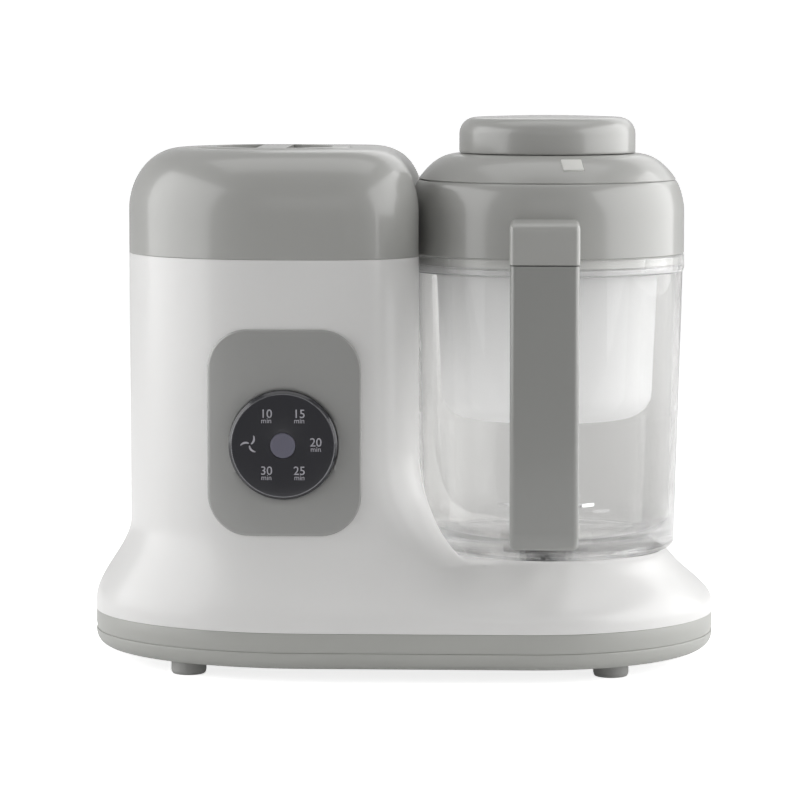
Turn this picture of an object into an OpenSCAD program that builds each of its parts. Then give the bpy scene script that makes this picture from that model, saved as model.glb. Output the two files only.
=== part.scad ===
// Baby food steamer and blender: a steam tower on a long base, a clear jar standing in the base's
// seat, a steaming basket hung in the jar, and a belt drive from the motor in the tower to the jar.
// Millimetres. X runs along the base, with the jar at +X; the front with the handle faces -Y.

/* [Base] */
// Length of the base along X
base_w = 271; // [262:1:284]
// Depth of the base along Y
base_d = 156; // [150:1:166]
// Length of the rounded left end of the base
base_left_end = 97; // [88:1:104]
// Length of the rounded right end of the base
base_right_end = 80; // [74:1:84]
// Height of a foot under the base
foot_h = 6; // [4:0.5:9]
// Radius of a foot
foot_r = 7.6; // [6:0.2:9]
// Distance between the feet along X
feet_dx = 181; // [170:1:190]
// Distance between the feet along Y
feet_dy = 96; // [86:1:100]
// Height of the bottom cover
cover_h = 7.5; // [6.5:0.5:10]
// How far the bottom cover's edge rounds in at its underside
cover_edge = 6.6; // [5:0.2:8]
// Thickness of the bottom cover's floor
cover_floor = 2.5; // [2:0.1:3]
// Height of the grey band above the bottom cover
band_h = 8.5; // [7:0.5:11]

/* [Housing] */
// Wall of the housing, the band and the tower cap
wall = 2.5; // [2:0.1:3]
// Height of the deck around the jar above the grey band
deck_rise = 27.6; // [26:0.2:32]
// Depth of the deck's rim in front of the jar axis
deck_half = 56; // [55:0.5:58]
// How far the base flares out to the left of the tower
flare_out = 15.2; // [12:0.2:18]
// Height above the grey band where the flare leaves the tower
flare_rise = 40; // [36:1:44]
// How far the base narrows from the band up to the deck at the right
right_fall = 18.7; // [17.5:0.1:19]
// Distance from the jar's axis to the tower's right side
tower_gap = 54.5; // [53.5:0.1:57]
// Depth of the tower
tower_d = 132; // [126:1:136]
// Length of the tower's rounded left end
tower_end = 66; // [60:1:68]
// Length of the tower's rounded right corners
tower_corner = 50; // [44:1:54]
// Height of the white housing above the grey band
tower_rise = 156.6; // [150:1:164]
// Radius of the sweep from the tower down to the deck
sweep_r = 48; // [42:1:50]

/* [Tower cap] */
// Height of the tower cap
cap_h = 45.4; // [42:0.5:50]
// Radius of the tower cap's shoulder
shoulder_r = 26; // [22:1:28]
// Height of the lip that plugs the cap into the housing
lip_h = 5; // [3:0.5:7]

/* [Jar] */
// Distance from the jar's axis to the base's right end
jar_in = 73; // [72.5:0.1:73.5]
// Clearance between the jar and the wall of its well
well_gap = 1.3; // [1:0.1:1.6]
// Depth of the seat below the deck
seat_depth = 9.6; // [8.6:0.2:10]
// Outer radius of the jar's rim
jar_rim_r = 59.7; // [59:0.1:60]
// Outer radius of the jar under its rim
jar_top_r = 59.1; // [58:0.1:59.2]
// Outer radius of the jar at its foot
jar_foot_r = 56.1; // [55:0.1:57]
// Wall of the jar
jar_wall = 3; // [2.4:0.1:3.2]
// Height of the jar
jar_h = 138; // [132:1:144]
// Height of the jar's thick rim
jar_rim_h = 6.5; // [6:0.1:7]
// Outer radius of the skirt that stands in the seat
skirt_r = 50.5; // [49:0.1:51]
// Radius of the fillet round the jar's floor
floor_fillet = 10; // [7:0.5:12]

/* [Handle] */
// Width of the handle
handle_w = 29; // [26:0.5:32]
// Reach of the handle's front face from the jar axis
handle_reach = 95; // [93:0.5:100]
// Thickness of the grip
grip_t = 11; // [9:0.5:12]
// Height of the handle's foot above the deck
handle_rise = 9.6; // [8:0.2:12]
// Height of the lid's tab
tab_h = 17.2; // [15:0.2:19]
// Depth of the arm between the jar and the grip
arm_h = 13; // [11:0.5:15]

/* [Lid] */
// Height of the lid's ring
lid_ring_h = 31.8; // [30:0.2:34]
// Height of the upright part of the lid's ring
lid_upright = 17.3; // [16:0.2:19]
// Outer radius at the seam under the dome
dome_r = 56.2; // [55.6:0.1:57]
// Height of the dome
dome_h = 11.4; // [10:0.2:13]
// Radius of the dome's flat top
dome_top_r = 38; // [36:0.5:39]
// Wall of the lid
lid_wall = 2.6; // [2.2:0.1:3]
// Radius of the feed cap
feed_cap_r = 38.3; // [37:0.1:40]
// Height of the feed cap
feed_cap_h = 16; // [14:0.5:18]
// Radius of the feed cap's rounded edge
feed_cap_edge = 10.5; // [8:0.5:12]
// Radius of the feed opening
feed_r = 30.5; // [28:0.5:32]
// Width of the steam vent
vent_w = 9; // [7:0.5:11]
// Length of the steam vent down the slope
vent_l = 7.4; // [6:0.2:9]
// Turn of the steam vent from the handle
vent_turn = 14; // [8:1:20]

/* [Basket] */
// Outer radius of the basket at its rim
basket_top_r = 49.3; // [47:0.1:51]
// Outer radius of the basket at its floor
basket_foot_r = 46; // [44:0.5:47]
// Depth of the basket below its flange
basket_depth = 65; // [60:1:70]
// Wall of the basket
basket_wall = 2; // [1.6:0.1:2.4]
// Radius of the basket's lower edge
basket_edge = 11; // [8:0.5:13]
// Number of outer slots in the basket's floor
basket_slots = 16; // [10:2:18]

/* [Blade] */
// Radius swept by the blade
blade_r = 21; // [18:0.5:24]
// Height of the blade above the jar's floor
blade_rise = 11; // [10:0.5:14]
// Thickness of the blade
blade_t = 1.5; // [1.2:0.1:1.8]
// Radius of the blade's shaft
blade_shaft_r = 3; // [2.5:0.1:3.4]

/* [Drive] */
// Radius of the drive shaft
drive_shaft_r = 4; // [3.5:0.1:4.4]
// Radius of the driven pulley
driven_r = 32; // [30:0.5:34]
// Radius of the motor's pulley
motor_pulley_r = 10; // [9:0.5:12]
// Width of the belt
belt_w = 8; // [6:0.5:9]
// Thickness of the belt
belt_t = 2; // [1.6:0.1:2.4]
// Distance of the motor's axis from the tower's middle
motor_shift = 11; // [8:0.5:14]
// Radius of the motor
motor_r = 25; // [23:0.5:26]
// Height of the motor
motor_h = 55; // [50:1:58]
// Radius of the motor's shaft
motor_shaft_r = 3; // [2.5:0.1:3.4]
// Outer radius of a bearing
bearing_r = 11; // [10:0.5:12]
// Height of a bearing
bearing_h = 7; // [6:0.5:7]
// Thickness of the drive frame's plate
frame_t = 3; // [2.5:0.1:3.5]

/* [Boiler] */
// Outer radius of the boiler
tank_r = 34; // [32:0.5:35]
// Height of the filling neck above the boiler
neck_h = 21; // [18:0.5:24]
// Wall of the boiler
tank_wall = 1.2; // [1:0.1:1.6]
// Inner radius of the filling neck
neck_r = 28.5; // [27:0.1:29]
// Radius of the tank lid
tank_lid_r = 33; // [32:0.5:34]
// Width of the grip bar across the tank lid
grip_bar_w = 13; // [11:0.5:15]
// Depth of the finger hollows in the tank lid
hollow_depth = 8.5; // [7:0.5:9]
// Height of the steam line under the top of the tower
steam_drop = 34; // [32:0.5:36]
// Outer radius of the steam nozzle
nozzle_r = 4.5; // [4:0.1:4.8]

/* [Controls] */
// Width of the control plate
plate_w = 64.6; // [60:0.5:68]
// Height of the control plate
plate_h = 86.5; // [80:0.5:90]
// Corner radius of the control plate
plate_corner = 17.5; // [14:0.5:20]
// How far the control plate stands proud
plate_t = 1.2; // [0.8:0.1:1.6]
// Distance of the controls from the tower's middle
plate_shift = 8; // [6:0.1:10]
// Height of the control plate's centre above the grey band
plate_rise = 83.6; // [80:0.5:88]
// Radius of the control disc
disc_r = 23.3; // [22:0.1:24]
// How far the control disc stands proud of the plate
disc_proud = 3.8; // [3:0.1:5]
// How far the disc's centre lies below the plate's centre
disc_drop = 4.3; // [3:0.1:6]
// Radius of the power button
button_r = 5.3; // [4.6:0.1:5.8]
// Travel of the power button
button_travel = 0.8; // [0.6:0.1:1]

/* [Cord inlet] */
// Distance of the cord gland from the tower's middle
gland_shift = 4; // [0:0.5:10]
// Length of the cord gland
gland_l = 15; // [14:0.5:18]
// Radius of the gland's bore
gland_bore_r = 3.2; // [2.8:0.1:3.6]
// Outer radius of the gland
gland_r = 6.5; // [6:0.1:7]

/* [Hidden] */

$fn = 96;
over = 1;           // how far a cut runs past the face that it opens
touch = 0.1;        // gap between faces that meet without a fit
slip = 0.3;         // gap between pieces that slide past each other
run_fit = 0.04;     // radial clearance of a shaft in its bearing

// heights of the stack, from the surface that the feet stand on
cover_z = foot_h;
cover_top = cover_z + cover_h;
band_top = cover_top + band_h;
deck_z = band_top + deck_rise;
seat_z = deck_z - seat_depth;
seam_z = band_top + tower_rise;
tower_top = seam_z + cap_h;
floor_z = cover_z + cover_floor;
jar_z = seat_z + touch;
jar_top = jar_z + jar_h;
lid_z = jar_top + slip;
dome_z = lid_z + lid_ring_h;
dome_top = dome_z + dome_h;
feed_cap_z = dome_top + slip;
frame_z = band_top + 6;
frame_top = frame_z + frame_t;
fan_z = frame_top + motor_h + 2;
fan_h = 7;

// the outer skin of the body
left_x = -base_w / 2 + flare_out;
jar_x = base_w / 2 - jar_in;
right_x = jar_x - tower_gap;
tank_x = (left_x + right_x) / 2;
motor_x = tank_x + motor_shift;
plate_x = tank_x + plate_shift;
gland_x = tank_x - gland_shift;
well_r = jar_rim_r + well_gap;
seat_r = skirt_r + touch * 10;
flare_low = band_top + 4;
flare_top = band_top + flare_rise;
sweep_run = 42;
end_steps = 20;
side_steps = 7;
axis_y = (handle_reach - base_d / 2) / 2;

function ease(t) = let (c = max(0, min(1, t))) c * c * (3 - 2 * c);
function flare(z) = ease((flare_top - z) / (flare_top - flare_low));
function rise(z) = ease((z - flare_low) / (deck_z - flare_low));
function sweep(z) = z > deck_z - 1 + sweep_r
    ? 0
    : sweep_r - sqrt(pow(sweep_r, 2) - pow(deck_z - 1 + sweep_r - z, 2));
function tower_half(z) = (tower_d + (base_d - tower_d) * flare(z)) / 2;
function jar_half(z) = base_d / 2 - (base_d / 2 - deck_half) * rise(z);
function skin_half(x, z) =
    tower_half(z) + (jar_half(z) - tower_half(z)) * ease((x - right_x) / sweep_run);
function skin_left(z) = left_x - flare_out * flare(z);
function left_end(z) = tower_end + (base_left_end - tower_end) * flare(z);
function skin_right(z, up) =
    up ? right_x + sweep(z) : base_w / 2 - right_fall * rise(z);
function right_end(z, up) = up
    ? min(tower_corner, skin_right(z, up) - skin_left(z) - left_end(z) - 2)
    : skin_right(z, up) - jar_x + (base_right_end - base_w / 2 + jar_x) * (1 - rise(z));

// how far the skin reaches back at x and height z
function back_y(x, z) =
    let (t = max(0, skin_left(z) + left_end(z) - x) / left_end(z)) skin_half(x, z) * sqrt(1 - t * t);

// one closed outline of the skin at height z, drawn in by inset; up picks the tower alone
function skin(z, up, inset = 0, level = undef) =
    let (
        cl = skin_left(z) + left_end(z),
        al = left_end(z) - inset,
        ar = right_end(z, up) - inset,
        cr = skin_right(z, up) - right_end(z, up),
        power = up ? 2 / 3 : 1,
        h = is_undef(level) ? z : level
    )
    concat(
        [for (i = [0:end_steps])
            let (a = -90 + 180 * i / end_steps, x = cr + ar * pow(max(0, cos(a)), power))
            [x, sign(sin(a)) * pow(abs(sin(a)), power) * (skin_half(x, z) - inset), h]],
        [for (i = [1:side_steps - 1])
            let (x = cr + (cl - cr) * i / side_steps)
            [x, skin_half(x, z) - inset, h]],
        [for (i = [0:end_steps])
            let (a = 90 + 180 * i / end_steps, x = cl + al * cos(a))
            [x, sin(a) * (skin_half(x, z) - inset), h]],
        [for (i = [1:side_steps - 1])
            let (x = cl + (cr - cl) * i / side_steps)
            [x, inset - skin_half(x, z), h]]
    );

function flat(outline) = [for (p = outline) [p[0], p[1]]];
function middle(outline) = [for (k = [0:2]) [for (p = outline) p[k]] * [for (p = outline) 1]]
    / len(outline);

// a closed solid through a list of outlines with equal numbers of points
module loft(outlines) {
    n = len(outlines[0]);
    last = len(outlines) - 1;
    points = concat([for (o = outlines) for (p = o) p], [middle(outlines[0]), middle(outlines[last])]);
    low = n * (last + 1);
    sides = [for (k = [0:last - 1]) for (i = [0:n - 1])
        let (j = (i + 1) % n, a = k * n + i, b = k * n + j)
        each [[a, a + n, b], [b, a + n, b + n]]];
    caps = [for (i = [0:n - 1])
        let (j = (i + 1) % n)
        each [[low, i, j], [low + 1, last * n + j, last * n + i]]];
    polyhedron(points = points, faces = concat(sides, caps), convexity = 8);
}

module tube(outer, inner, h) {
    difference() {
        cylinder(r = outer, h = h);
        translate([0, 0, -over]) cylinder(r = inner, h = h + 2 * over);
    }
}

module at_jar(z = 0) {
    translate([jar_x, 0, z]) children();
}

module at_tank(z = 0) {
    translate([tank_x, 0, z]) children();
}

module at_motor(z = 0) {
    translate([motor_x, 0, z]) children();
}

// the controls' own frame: Z runs out of the front face
disc_z = band_top + plate_rise - disc_drop;
front_y = -tower_d / 2;
module at_disc(y = front_y) {
    translate([plate_x, y, disc_z]) rotate([90, 0, 0]) children();
}

module rounded(w, h, r) {
    square([w - 2 * r, h], center = true);
    square([w, h - 2 * r], center = true);
    for (x = [-1, 1], y = [-1, 1]) translate([x * (w / 2 - r), y * (h / 2 - r)]) circle(r);
}

// ---- body shells

base_rises = [0, 3.5, 7, 10, 13, 16, 19, 22, 24.5, deck_rise - 0.6];
tower_rises = [deck_rise, deck_rise + 2, deck_rise + 5, deck_rise + 9, deck_rise + 14,
    deck_rise + 20, deck_rise + 28, deck_rise + 37, deck_rise + 47.5, tower_rise];
column_r = 4;
column_in = column_r + 0.5;
column_turn = 25;
columns = concat(
    [for (s = [-1, 1]) [left_x + tower_end - (tower_end - column_in) * cos(column_turn),
        s * (tower_d / 2 - column_in) * sin(column_turn)]],
    [for (s = [-1, 1]) [jar_x + (seat_r + column_in) * cos(column_turn + 5),
        s * (seat_r + column_in) * sin(column_turn + 5)]]
);
column_tops = [flare_top + 10, flare_top + 10, seat_z, seat_z];
screw_r = 1.7;
screw_head_r = 3.3;
screw_head_h = 1.8;
gland_z = band_top + 12;
gland_out = 3.2;
gland_y = back_y(gland_x, gland_z) + gland_out;
gland_flange_r = gland_r + 2.5;
gland_flange_t = 3;
plunger_z = seat_z + 1.8;
plunger_r = 1.5;
window_r = disc_r - 2.3;
steam_z = tower_top - steam_drop;

module housing_shell() {
    difference() {
        loft(concat(
            [for (r = base_rises) skin(band_top + r, false)],
            [for (r = tower_rises) skin(band_top + r, true)]
        ));
        difference() {
            loft(concat(
                [skin(band_top, false, wall, band_top - over)],
                [for (r = base_rises) if (r > wall) skin(band_top + r, false, wall, band_top + r - wall)],
                [for (r = tower_rises) skin(band_top + r, true, wall, band_top + r - wall)],
                [skin(seam_z, true, wall, seam_z + over)]
            ));
            at_jar(deck_z - wall) cylinder(r = well_r + wall, h = tower_rise);
            at_jar(seat_z - wall) cylinder(r = seat_r + wall, h = seat_depth);
        }
        at_jar(deck_z) cylinder(r = well_r, h = tower_rise);
        at_jar(seat_z) cylinder(r = seat_r, h = seat_depth + over);
    }
}

module main_housing() {
    color("white") difference() {
        union() {
            housing_shell();
            for (i = [0:3])
                translate([columns[i][0], columns[i][1], band_top])
                    cylinder(r = column_r, h = column_tops[i] - band_top);
        }
        for (c = columns)
            translate([c[0], c[1], band_top - over]) cylinder(r = screw_r, h = 12 + over);
        at_jar(seat_z - wall - over) cylinder(r = seal_r, h = wall + 2 * over);
        at_disc(front_y + 12) cylinder(r = window_r, h = 24);
        translate([gland_x, gland_y - gland_l - 5, gland_z])
            rotate([-90, 0, 0]) cylinder(r = gland_r + touch, h = gland_l + 10);
        translate([jar_x - seat_r - 2 * wall, 0, plunger_z])
            rotate([0, 90, 0]) cylinder(r = plunger_r + slip, h = 3 * wall);
    }
}

module base_band() {
    color("darkgray") translate([0, 0, cover_top]) linear_extrude(band_h) difference() {
        polygon(flat(skin(band_top, false)));
        polygon(flat(skin(band_top, false, wall)));
    }
}

frame_left = -base_w / 2 + 39.5;
frame_right = jar_x + 41.5;
frame_half = 44;
post_y = frame_half - 10;
post_r = 4.5;
posts = [for (x = [frame_left + 11, frame_right - 14], y = [-1, 1]) [x, y * post_y]];
cover_wall = cover_edge * 0.25 + wall;
foot_sink = 1.2;
vent_slots = 7;
edge_steps = [0, 0.12, 0.35, 0.65, 1];

module bottom_cover() {
    color("darkgray") difference() {
        union() {
            difference() {
                loft([for (t = edge_steps)
                    skin(band_top, false, cover_edge * (1 - sqrt(t * (2 - t))), cover_z + cover_h * t)]);
                translate([0, 0, floor_z]) linear_extrude(cover_h)
                    polygon(flat(skin(band_top, false, cover_wall)));
            }
            for (p = posts) translate([p[0], p[1], floor_z]) cylinder(r = post_r, h = frame_z - floor_z);
            for (c = columns)
                translate([c[0], c[1], floor_z]) cylinder(r = column_r, h = band_top - floor_z);
            at_jar(floor_z) cylinder(r = bearing_r + wall, h = bearing_h);
        }
        at_jar(floor_z) cylinder(r = bearing_r, h = bearing_h + over);
        for (p = posts)
            translate([p[0], p[1], frame_z - 14]) cylinder(r = screw_r, h = 14 + over);
        for (c = columns) translate([c[0], c[1], cover_z - over]) {
            cylinder(r = screw_r, h = band_top);
            cylinder(r = screw_head_r + slip, h = over + 3);
        }
        for (x = [-1, 1], y = [-1, 1])
            translate([x * feet_dx / 2, y * feet_dy / 2, cover_z - over])
                cylinder(r = foot_r + touch, h = over + foot_sink);
        for (i = [0:vent_slots - 1])
            translate([motor_x + (i - (vent_slots - 1) / 2) * 7 - 1.5, -20, cover_z - over])
                cube([3, 40, cover_floor + 2 * over]);
    }
}

module feet() {
    color("dimgray") for (x = [-1, 1], y = [-1, 1])
        translate([x * feet_dx / 2, y * feet_dy / 2, 0]) cylinder(r = foot_r, h = foot_h + foot_sink);
}

module screw(length) {
    color("silver") {
        cylinder(r = screw_head_r, h = screw_head_h);
        translate([0, 0, screw_head_h - 0.01]) cylinder(r = screw_r - 0.05, h = length + 0.01);
    }
}

module housing_screws() {
    for (c = columns)
        translate([c[0], c[1], cover_z + 3 - screw_head_h]) screw(band_top - cover_z + 6);
}

// ---- tower cap with the filling opening

neck_top = tower_top - 5.3;
mouth_r = tank_lid_r + 2 * slip;
cap_turns = [0, 12, 24, 36, 48, 60, 72, 84];

function shoulder(r, a) = [r * (1 - cos(a)), r * sin(a)];

module cap_solid(inset) {
    r = shoulder_r - inset;
    loft(concat(
        [skin(seam_z, true, inset, seam_z - (inset > 0 ? over : 0))],
        [for (a = cap_turns)
            skin(seam_z, true, inset + shoulder(r, a)[0], tower_top - shoulder_r + shoulder(r, a)[1])]
    ));
}

module lip(inset) {
    difference() {
        polygon(flat(skin(seam_z, true, inset)));
        polygon(flat(skin(seam_z, true, 2 * wall - 0.5)));
        translate([jar_x, 0]) circle(well_r + inset + 2 * touch);
    }
}

module tower_cap() {
    color("gray") difference() {
        union() {
            difference() {
                cap_solid(0);
                difference() {
                    cap_solid(wall);
                    at_jar(seam_z - 2 * over) cylinder(r = well_r + wall, h = cap_h);
                    at_tank(neck_top + touch) cylinder(r = mouth_r + wall, h = cap_h);
                }
            }
            translate([0, 0, seam_z - lip_h]) linear_extrude(lip_h + 2) lip(wall + touch);
            translate([0, 0, seam_z]) linear_extrude(2) lip(wall / 2);
        }
        at_jar(seam_z - lip_h - over) cylinder(r = well_r, h = cap_h + lip_h + 2 * over);
        at_tank(neck_top) cylinder(r = mouth_r, h = 12);
        translate([jar_x - well_r - 2 * wall, 0, steam_z]) rotate([0, 90, 0]) {
            cylinder(r = nozzle_r + touch, h = 4 * wall);
            translate([0, 0, wall + nozzle_sink]) cylinder(r = nozzle_seal_r + touch, h = 3 * wall);
        }
    }
}

// ---- steam line

nozzle_sink = 1.2;
nozzle_seal_r = 7.5;
nozzle_wall = 1.5;
nozzle_flange_t = 1.5;
hose_wall = 1.8;
wall_x = jar_x - well_r - wall;

module along_steam(x) {
    translate([x, 0, steam_z]) rotate([0, 90, 0]) children();
}

module steam_nozzle() {
    color("whitesmoke") difference() {
        union() {
            along_steam(wall_x - 8) cylinder(r = nozzle_r, h = 8 + wall);
            along_steam(wall_x - nozzle_flange_t - touch) cylinder(r = nozzle_seal_r, h = nozzle_flange_t);
        }
        along_steam(wall_x - 8 - over) cylinder(r = nozzle_r - nozzle_wall, h = 8 + 2 * wall);
    }
}

module nozzle_seal() {
    color("gainsboro") along_steam(wall_x + nozzle_sink + touch)
        tube(nozzle_seal_r, nozzle_r + touch, wall - nozzle_sink + well_gap - 2 * slip);
}

module steam_hose() {
    hose_in = tank_x + tank_r + 1.5;
    hose_out = wall_x - nozzle_flange_t - 2 * touch;
    color("gainsboro") along_steam(hose_in) tube(nozzle_r + hose_wall, nozzle_r + touch / 2, hose_out - hose_in);
}

// ---- boiler with its heater, stand and filling neck

tank_top = neck_top - neck_h;
stand_ring_h = 4;
thermostat_r = 8.5;
thermostat_h = 8;
terminal_h = 5;
tank_z = fan_z + fan_h + 2 * touch + terminal_h + thermostat_h + stand_ring_h + 0.5;
tank_h = tank_top - tank_z;
fuse_r = 2;
fuse_l = 18;
stand_ring_r = tank_r + 3;
heater_r = tank_r - 3.5;
leg_w = 8;
leg_t = 2.5;
spigot_l = 8.5;

module boiler_tank() {
    color("silver") difference() {
        union() {
            at_tank(tank_z) cylinder(r = tank_r, h = tank_h);
            along_steam(tank_x) cylinder(r = nozzle_r, h = tank_r + spigot_l);
        }
        at_tank(tank_z + tank_wall) cylinder(r = tank_r - tank_wall, h = tank_h - 2 * tank_wall);
        at_tank(tank_top - 2 * tank_wall) cylinder(r = neck_r, h = 3 * tank_wall);
        along_steam(tank_x) cylinder(r = nozzle_r - nozzle_wall, h = tank_r + spigot_l + over);
    }
}

module tank_neck() {
    color("whitesmoke") at_tank(tank_top) difference() {
        union() {
            cylinder(r = tank_r, h = 2);
            cylinder(r = neck_r + wall, h = neck_top - tank_top);
            translate([0, 0, neck_top - tank_top - 3]) cylinder(r = mouth_r + wall, h = 3);
        }
        translate([0, 0, -over]) cylinder(r = neck_r, h = neck_top - tank_top + 2 * over);
    }
}

module heater_plate() {
    color("dimgray") at_tank(tank_z - stand_ring_h) {
        cylinder(r = heater_r, h = stand_ring_h);
        for (a = [25, 155]) rotate([0, 0, a])
            translate([heater_r - 8, 0, -terminal_h - 1]) cylinder(r = 2, h = terminal_h + 2);
    }
}

module thermostat() {
    color("black") at_tank(tank_z - stand_ring_h - thermostat_h) {
        cylinder(r = thermostat_r, h = thermostat_h);
        for (s = [-1, 1])
            translate([s * (thermostat_r - 2.5) - 0.4, -2, -terminal_h]) cube([0.8, 4, terminal_h + 1]);
    }
}

module thermal_fuse() {
    color("peru") at_tank(tank_z - stand_ring_h - fuse_r) translate([-fuse_l / 2, heater_r / 2 + 2, 0])
        rotate([0, 90, 0]) cylinder(r = fuse_r, h = fuse_l);
}

module boiler_stand() {
    color("lightgray") at_tank() {
        translate([0, 0, tank_z - stand_ring_h]) tube(stand_ring_r, heater_r + slip, stand_ring_h);
        for (a = [60, 180, 300]) rotate([0, 0, a]) {
            translate([stand_ring_r - leg_t, -leg_w / 2, frame_top])
                cube([leg_t, leg_w, tank_z - frame_top - over]);
            translate([stand_ring_r - leg_t, -leg_w / 2, frame_top]) cube([leg_w, leg_w, 2]);
        }
    }
}

// ---- drive frame, motor, belt and shaft

pulley_z = band_top - 4;
motor_hole_r = 9;
belt_gap = slip;
shaft_low = floor_z + 0.5;
shaft_top = seat_z + 4.5;
seal_r = 8.5;
coupling_gap = 0.6;
coupling_h = 4.8;

module drive_frame() {
    color("lightgray") difference() {
        union() {
            translate([frame_left, -frame_half, frame_z])
                cube([frame_right - frame_left, 2 * frame_half, frame_t]);
            at_jar(frame_z) cylinder(r = bearing_r + wall, h = bearing_h);
        }
        at_jar(frame_z - over) cylinder(r = bearing_r, h = bearing_h + 2 * over);
        at_motor(frame_z - over) cylinder(r = motor_hole_r, h = frame_t + 2 * over);
        for (p = posts) translate([p[0], p[1], frame_z - over]) cylinder(r = screw_r, h = frame_t + 2 * over);
    }
}

module frame_screws() {
    for (p = posts) translate([p[0], p[1], frame_top + screw_head_h]) rotate([180, 0, 0]) screw(12);
}

module motor() {
    color("slategray") at_motor(frame_top) difference() {
        union() {
            cylinder(r = motor_r - 2, h = motor_h);
            translate([0, 0, 6]) cylinder(r = motor_r, h = motor_h - 12);
            cylinder(r = motor_r, h = 3);
        }
        translate([0, 0, -over]) cylinder(r = motor_shaft_r + run_fit, h = motor_h + 2 * over);
        for (a = [0:60:300]) rotate([0, 0, a])
            translate([motor_r - 4, -3, 12]) cube([6, 6, motor_h - 24]);
    }
}

module motor_shaft() {
    color("silver") at_motor(pulley_z - 1) cylinder(r = motor_shaft_r, h = fan_z + fan_h + 1 - pulley_z + 1);
}

module drive_pulley() {
    color("dimgray") at_motor(pulley_z) difference() {
        union() {
            cylinder(r = motor_pulley_r, h = belt_w);
            translate([0, 0, belt_w - 0.01]) cylinder(r = motor_shaft_r + 3, h = frame_z - pulley_z - belt_w);
        }
        translate([0, 0, -over]) cylinder(r = motor_shaft_r + 0.01, h = 20);
    }
}

module cooling_fan() {
    color("black") at_motor(fan_z) difference() {
        union() {
            cylinder(r = motor_shaft_r + 3, h = fan_h);
            for (a = [0:45:315]) rotate([0, 0, a]) translate([motor_shaft_r + 2, -0.7, 0]) cube([14, 1.4, fan_h]);
            translate([0, 0, 0]) tube(motor_shaft_r + 17, motor_shaft_r + 15, fan_h);
        }
        translate([0, 0, -over]) cylinder(r = motor_shaft_r + 0.01, h = fan_h + 2 * over);
    }
}

module belt_path(grow) {
    hull() {
        translate([motor_x, 0]) circle(motor_pulley_r + grow);
        translate([jar_x, 0]) circle(driven_r + grow);
    }
}

module drive_belt() {
    color("black") translate([0, 0, pulley_z]) linear_extrude(belt_w) difference() {
        belt_path(belt_gap + belt_t);
        belt_path(belt_gap);
    }
}

module driven_pulley() {
    color("dimgray") at_jar(pulley_z) difference() {
        union() {
            tube(driven_r, driven_r - 4, belt_w);
            translate([0, 0, 2.5]) cylinder(r = driven_r - 2, h = 3);
            translate([0, 0, floor_z + bearing_h + slip - pulley_z])
                cylinder(r = drive_shaft_r + 3.5, h = frame_z - floor_z - bearing_h - 2 * slip);
        }
        translate([0, 0, -10]) cylinder(r = drive_shaft_r + 0.01, h = 30);
        for (a = [0:60:300]) rotate([0, 0, a]) translate([driven_r - 14, 0, 0]) cylinder(r = 4.5, h = 9);
    }
}

module drive_shaft() {
    color("silver") at_jar(shaft_low) cylinder(r = drive_shaft_r, h = shaft_top - shaft_low);
}

module bearing(z) {
    color("silver") at_jar(z) difference() {
        cylinder(r = bearing_r - 0.02, h = bearing_h);
        translate([0, 0, -over]) cylinder(r = drive_shaft_r + run_fit, h = bearing_h + 2 * over);
    }
}

module lower_bearing() {
    bearing(floor_z);
}

module upper_bearing() {
    bearing(frame_z);
}

module shaft_seal() {
    color("firebrick") at_jar(seat_z - wall) tube(seal_r - 0.02, drive_shaft_r + run_fit, wall);
}

// dogs: fingers on the drive side stand between lugs on the jar side
dogs = 6;
dog_turn = 24;
dog_inner = 7;
dog_outer = 9.6;
coupling_r = 11.6;

module dog(inner, outer, h, start) {
    rotate([0, 0, start - dog_turn / 2]) rotate_extrude(angle = dog_turn)
        translate([inner, 0]) square([outer - inner, h]);
}

module drive_coupling() {
    color("dimgray") at_jar(seat_z + coupling_gap) difference() {
        union() {
            cylinder(r = dog_inner - slip, h = coupling_h);
            for (i = [0:dogs - 1])
                dog(dog_inner - 2, dog_outer - slip, coupling_h, (i + 0.5) * 360 / dogs);
        }
        translate([0, 0, -over]) cylinder(r = drive_shaft_r + 0.01, h = shaft_top - seat_z - coupling_gap + over);
    }
}

// ---- electrics

board_t = 1.6;
board_y = front_y + 6.5;
board_w = 42;
board_h = 56;
power_board_w = 68;
power_board_h = 46;

module control_board() {
    color("green") at_disc(board_y + board_t) difference() {
        linear_extrude(board_t) rounded(board_w, board_h, 2);
        for (a = [90, 210, 330]) rotate([0, 0, a]) translate([pillar_place, 0, -over])
            cylinder(r = screw_r, h = board_t + 2 * over);
    }
}

module tact_switch() {
    color("black") at_disc(board_y) {
        translate([-3, -3, 0]) cube([6, 6, 3.4]);
        translate([0, 0, 3.39]) cylinder(r = 1.7, h = switch_reach - 3.39);
    }
}

module indicator_leds() {
    color("white") at_disc(board_y) for (a = [-120:60:180]) rotate([0, 0, a])
        translate([label_r, 0, 0]) cylinder(r = 1.3, h = 2.2);
}

module board_screws() {
    for (a = [90, 210, 330]) at_disc(board_y + board_t + screw_head_h)
        rotate([0, 0, a]) translate([pillar_place, 0, 0]) screw(board_t + 4.5);
}

module power_board() {
    color("darkgreen") translate([motor_x - power_board_w / 2 - 4, frame_half - 4, frame_top]) {
        cube([power_board_w, board_t, power_board_h]);
        translate([8, board_t, 6]) cube([18, 13, 16]);
        translate([32, board_t, 6]) cube([20, 11, 18]);
        translate([16, board_t, power_board_h - 12]) rotate([-90, 0, 0]) cylinder(r = 6, h = 12);
    }
}

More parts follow.
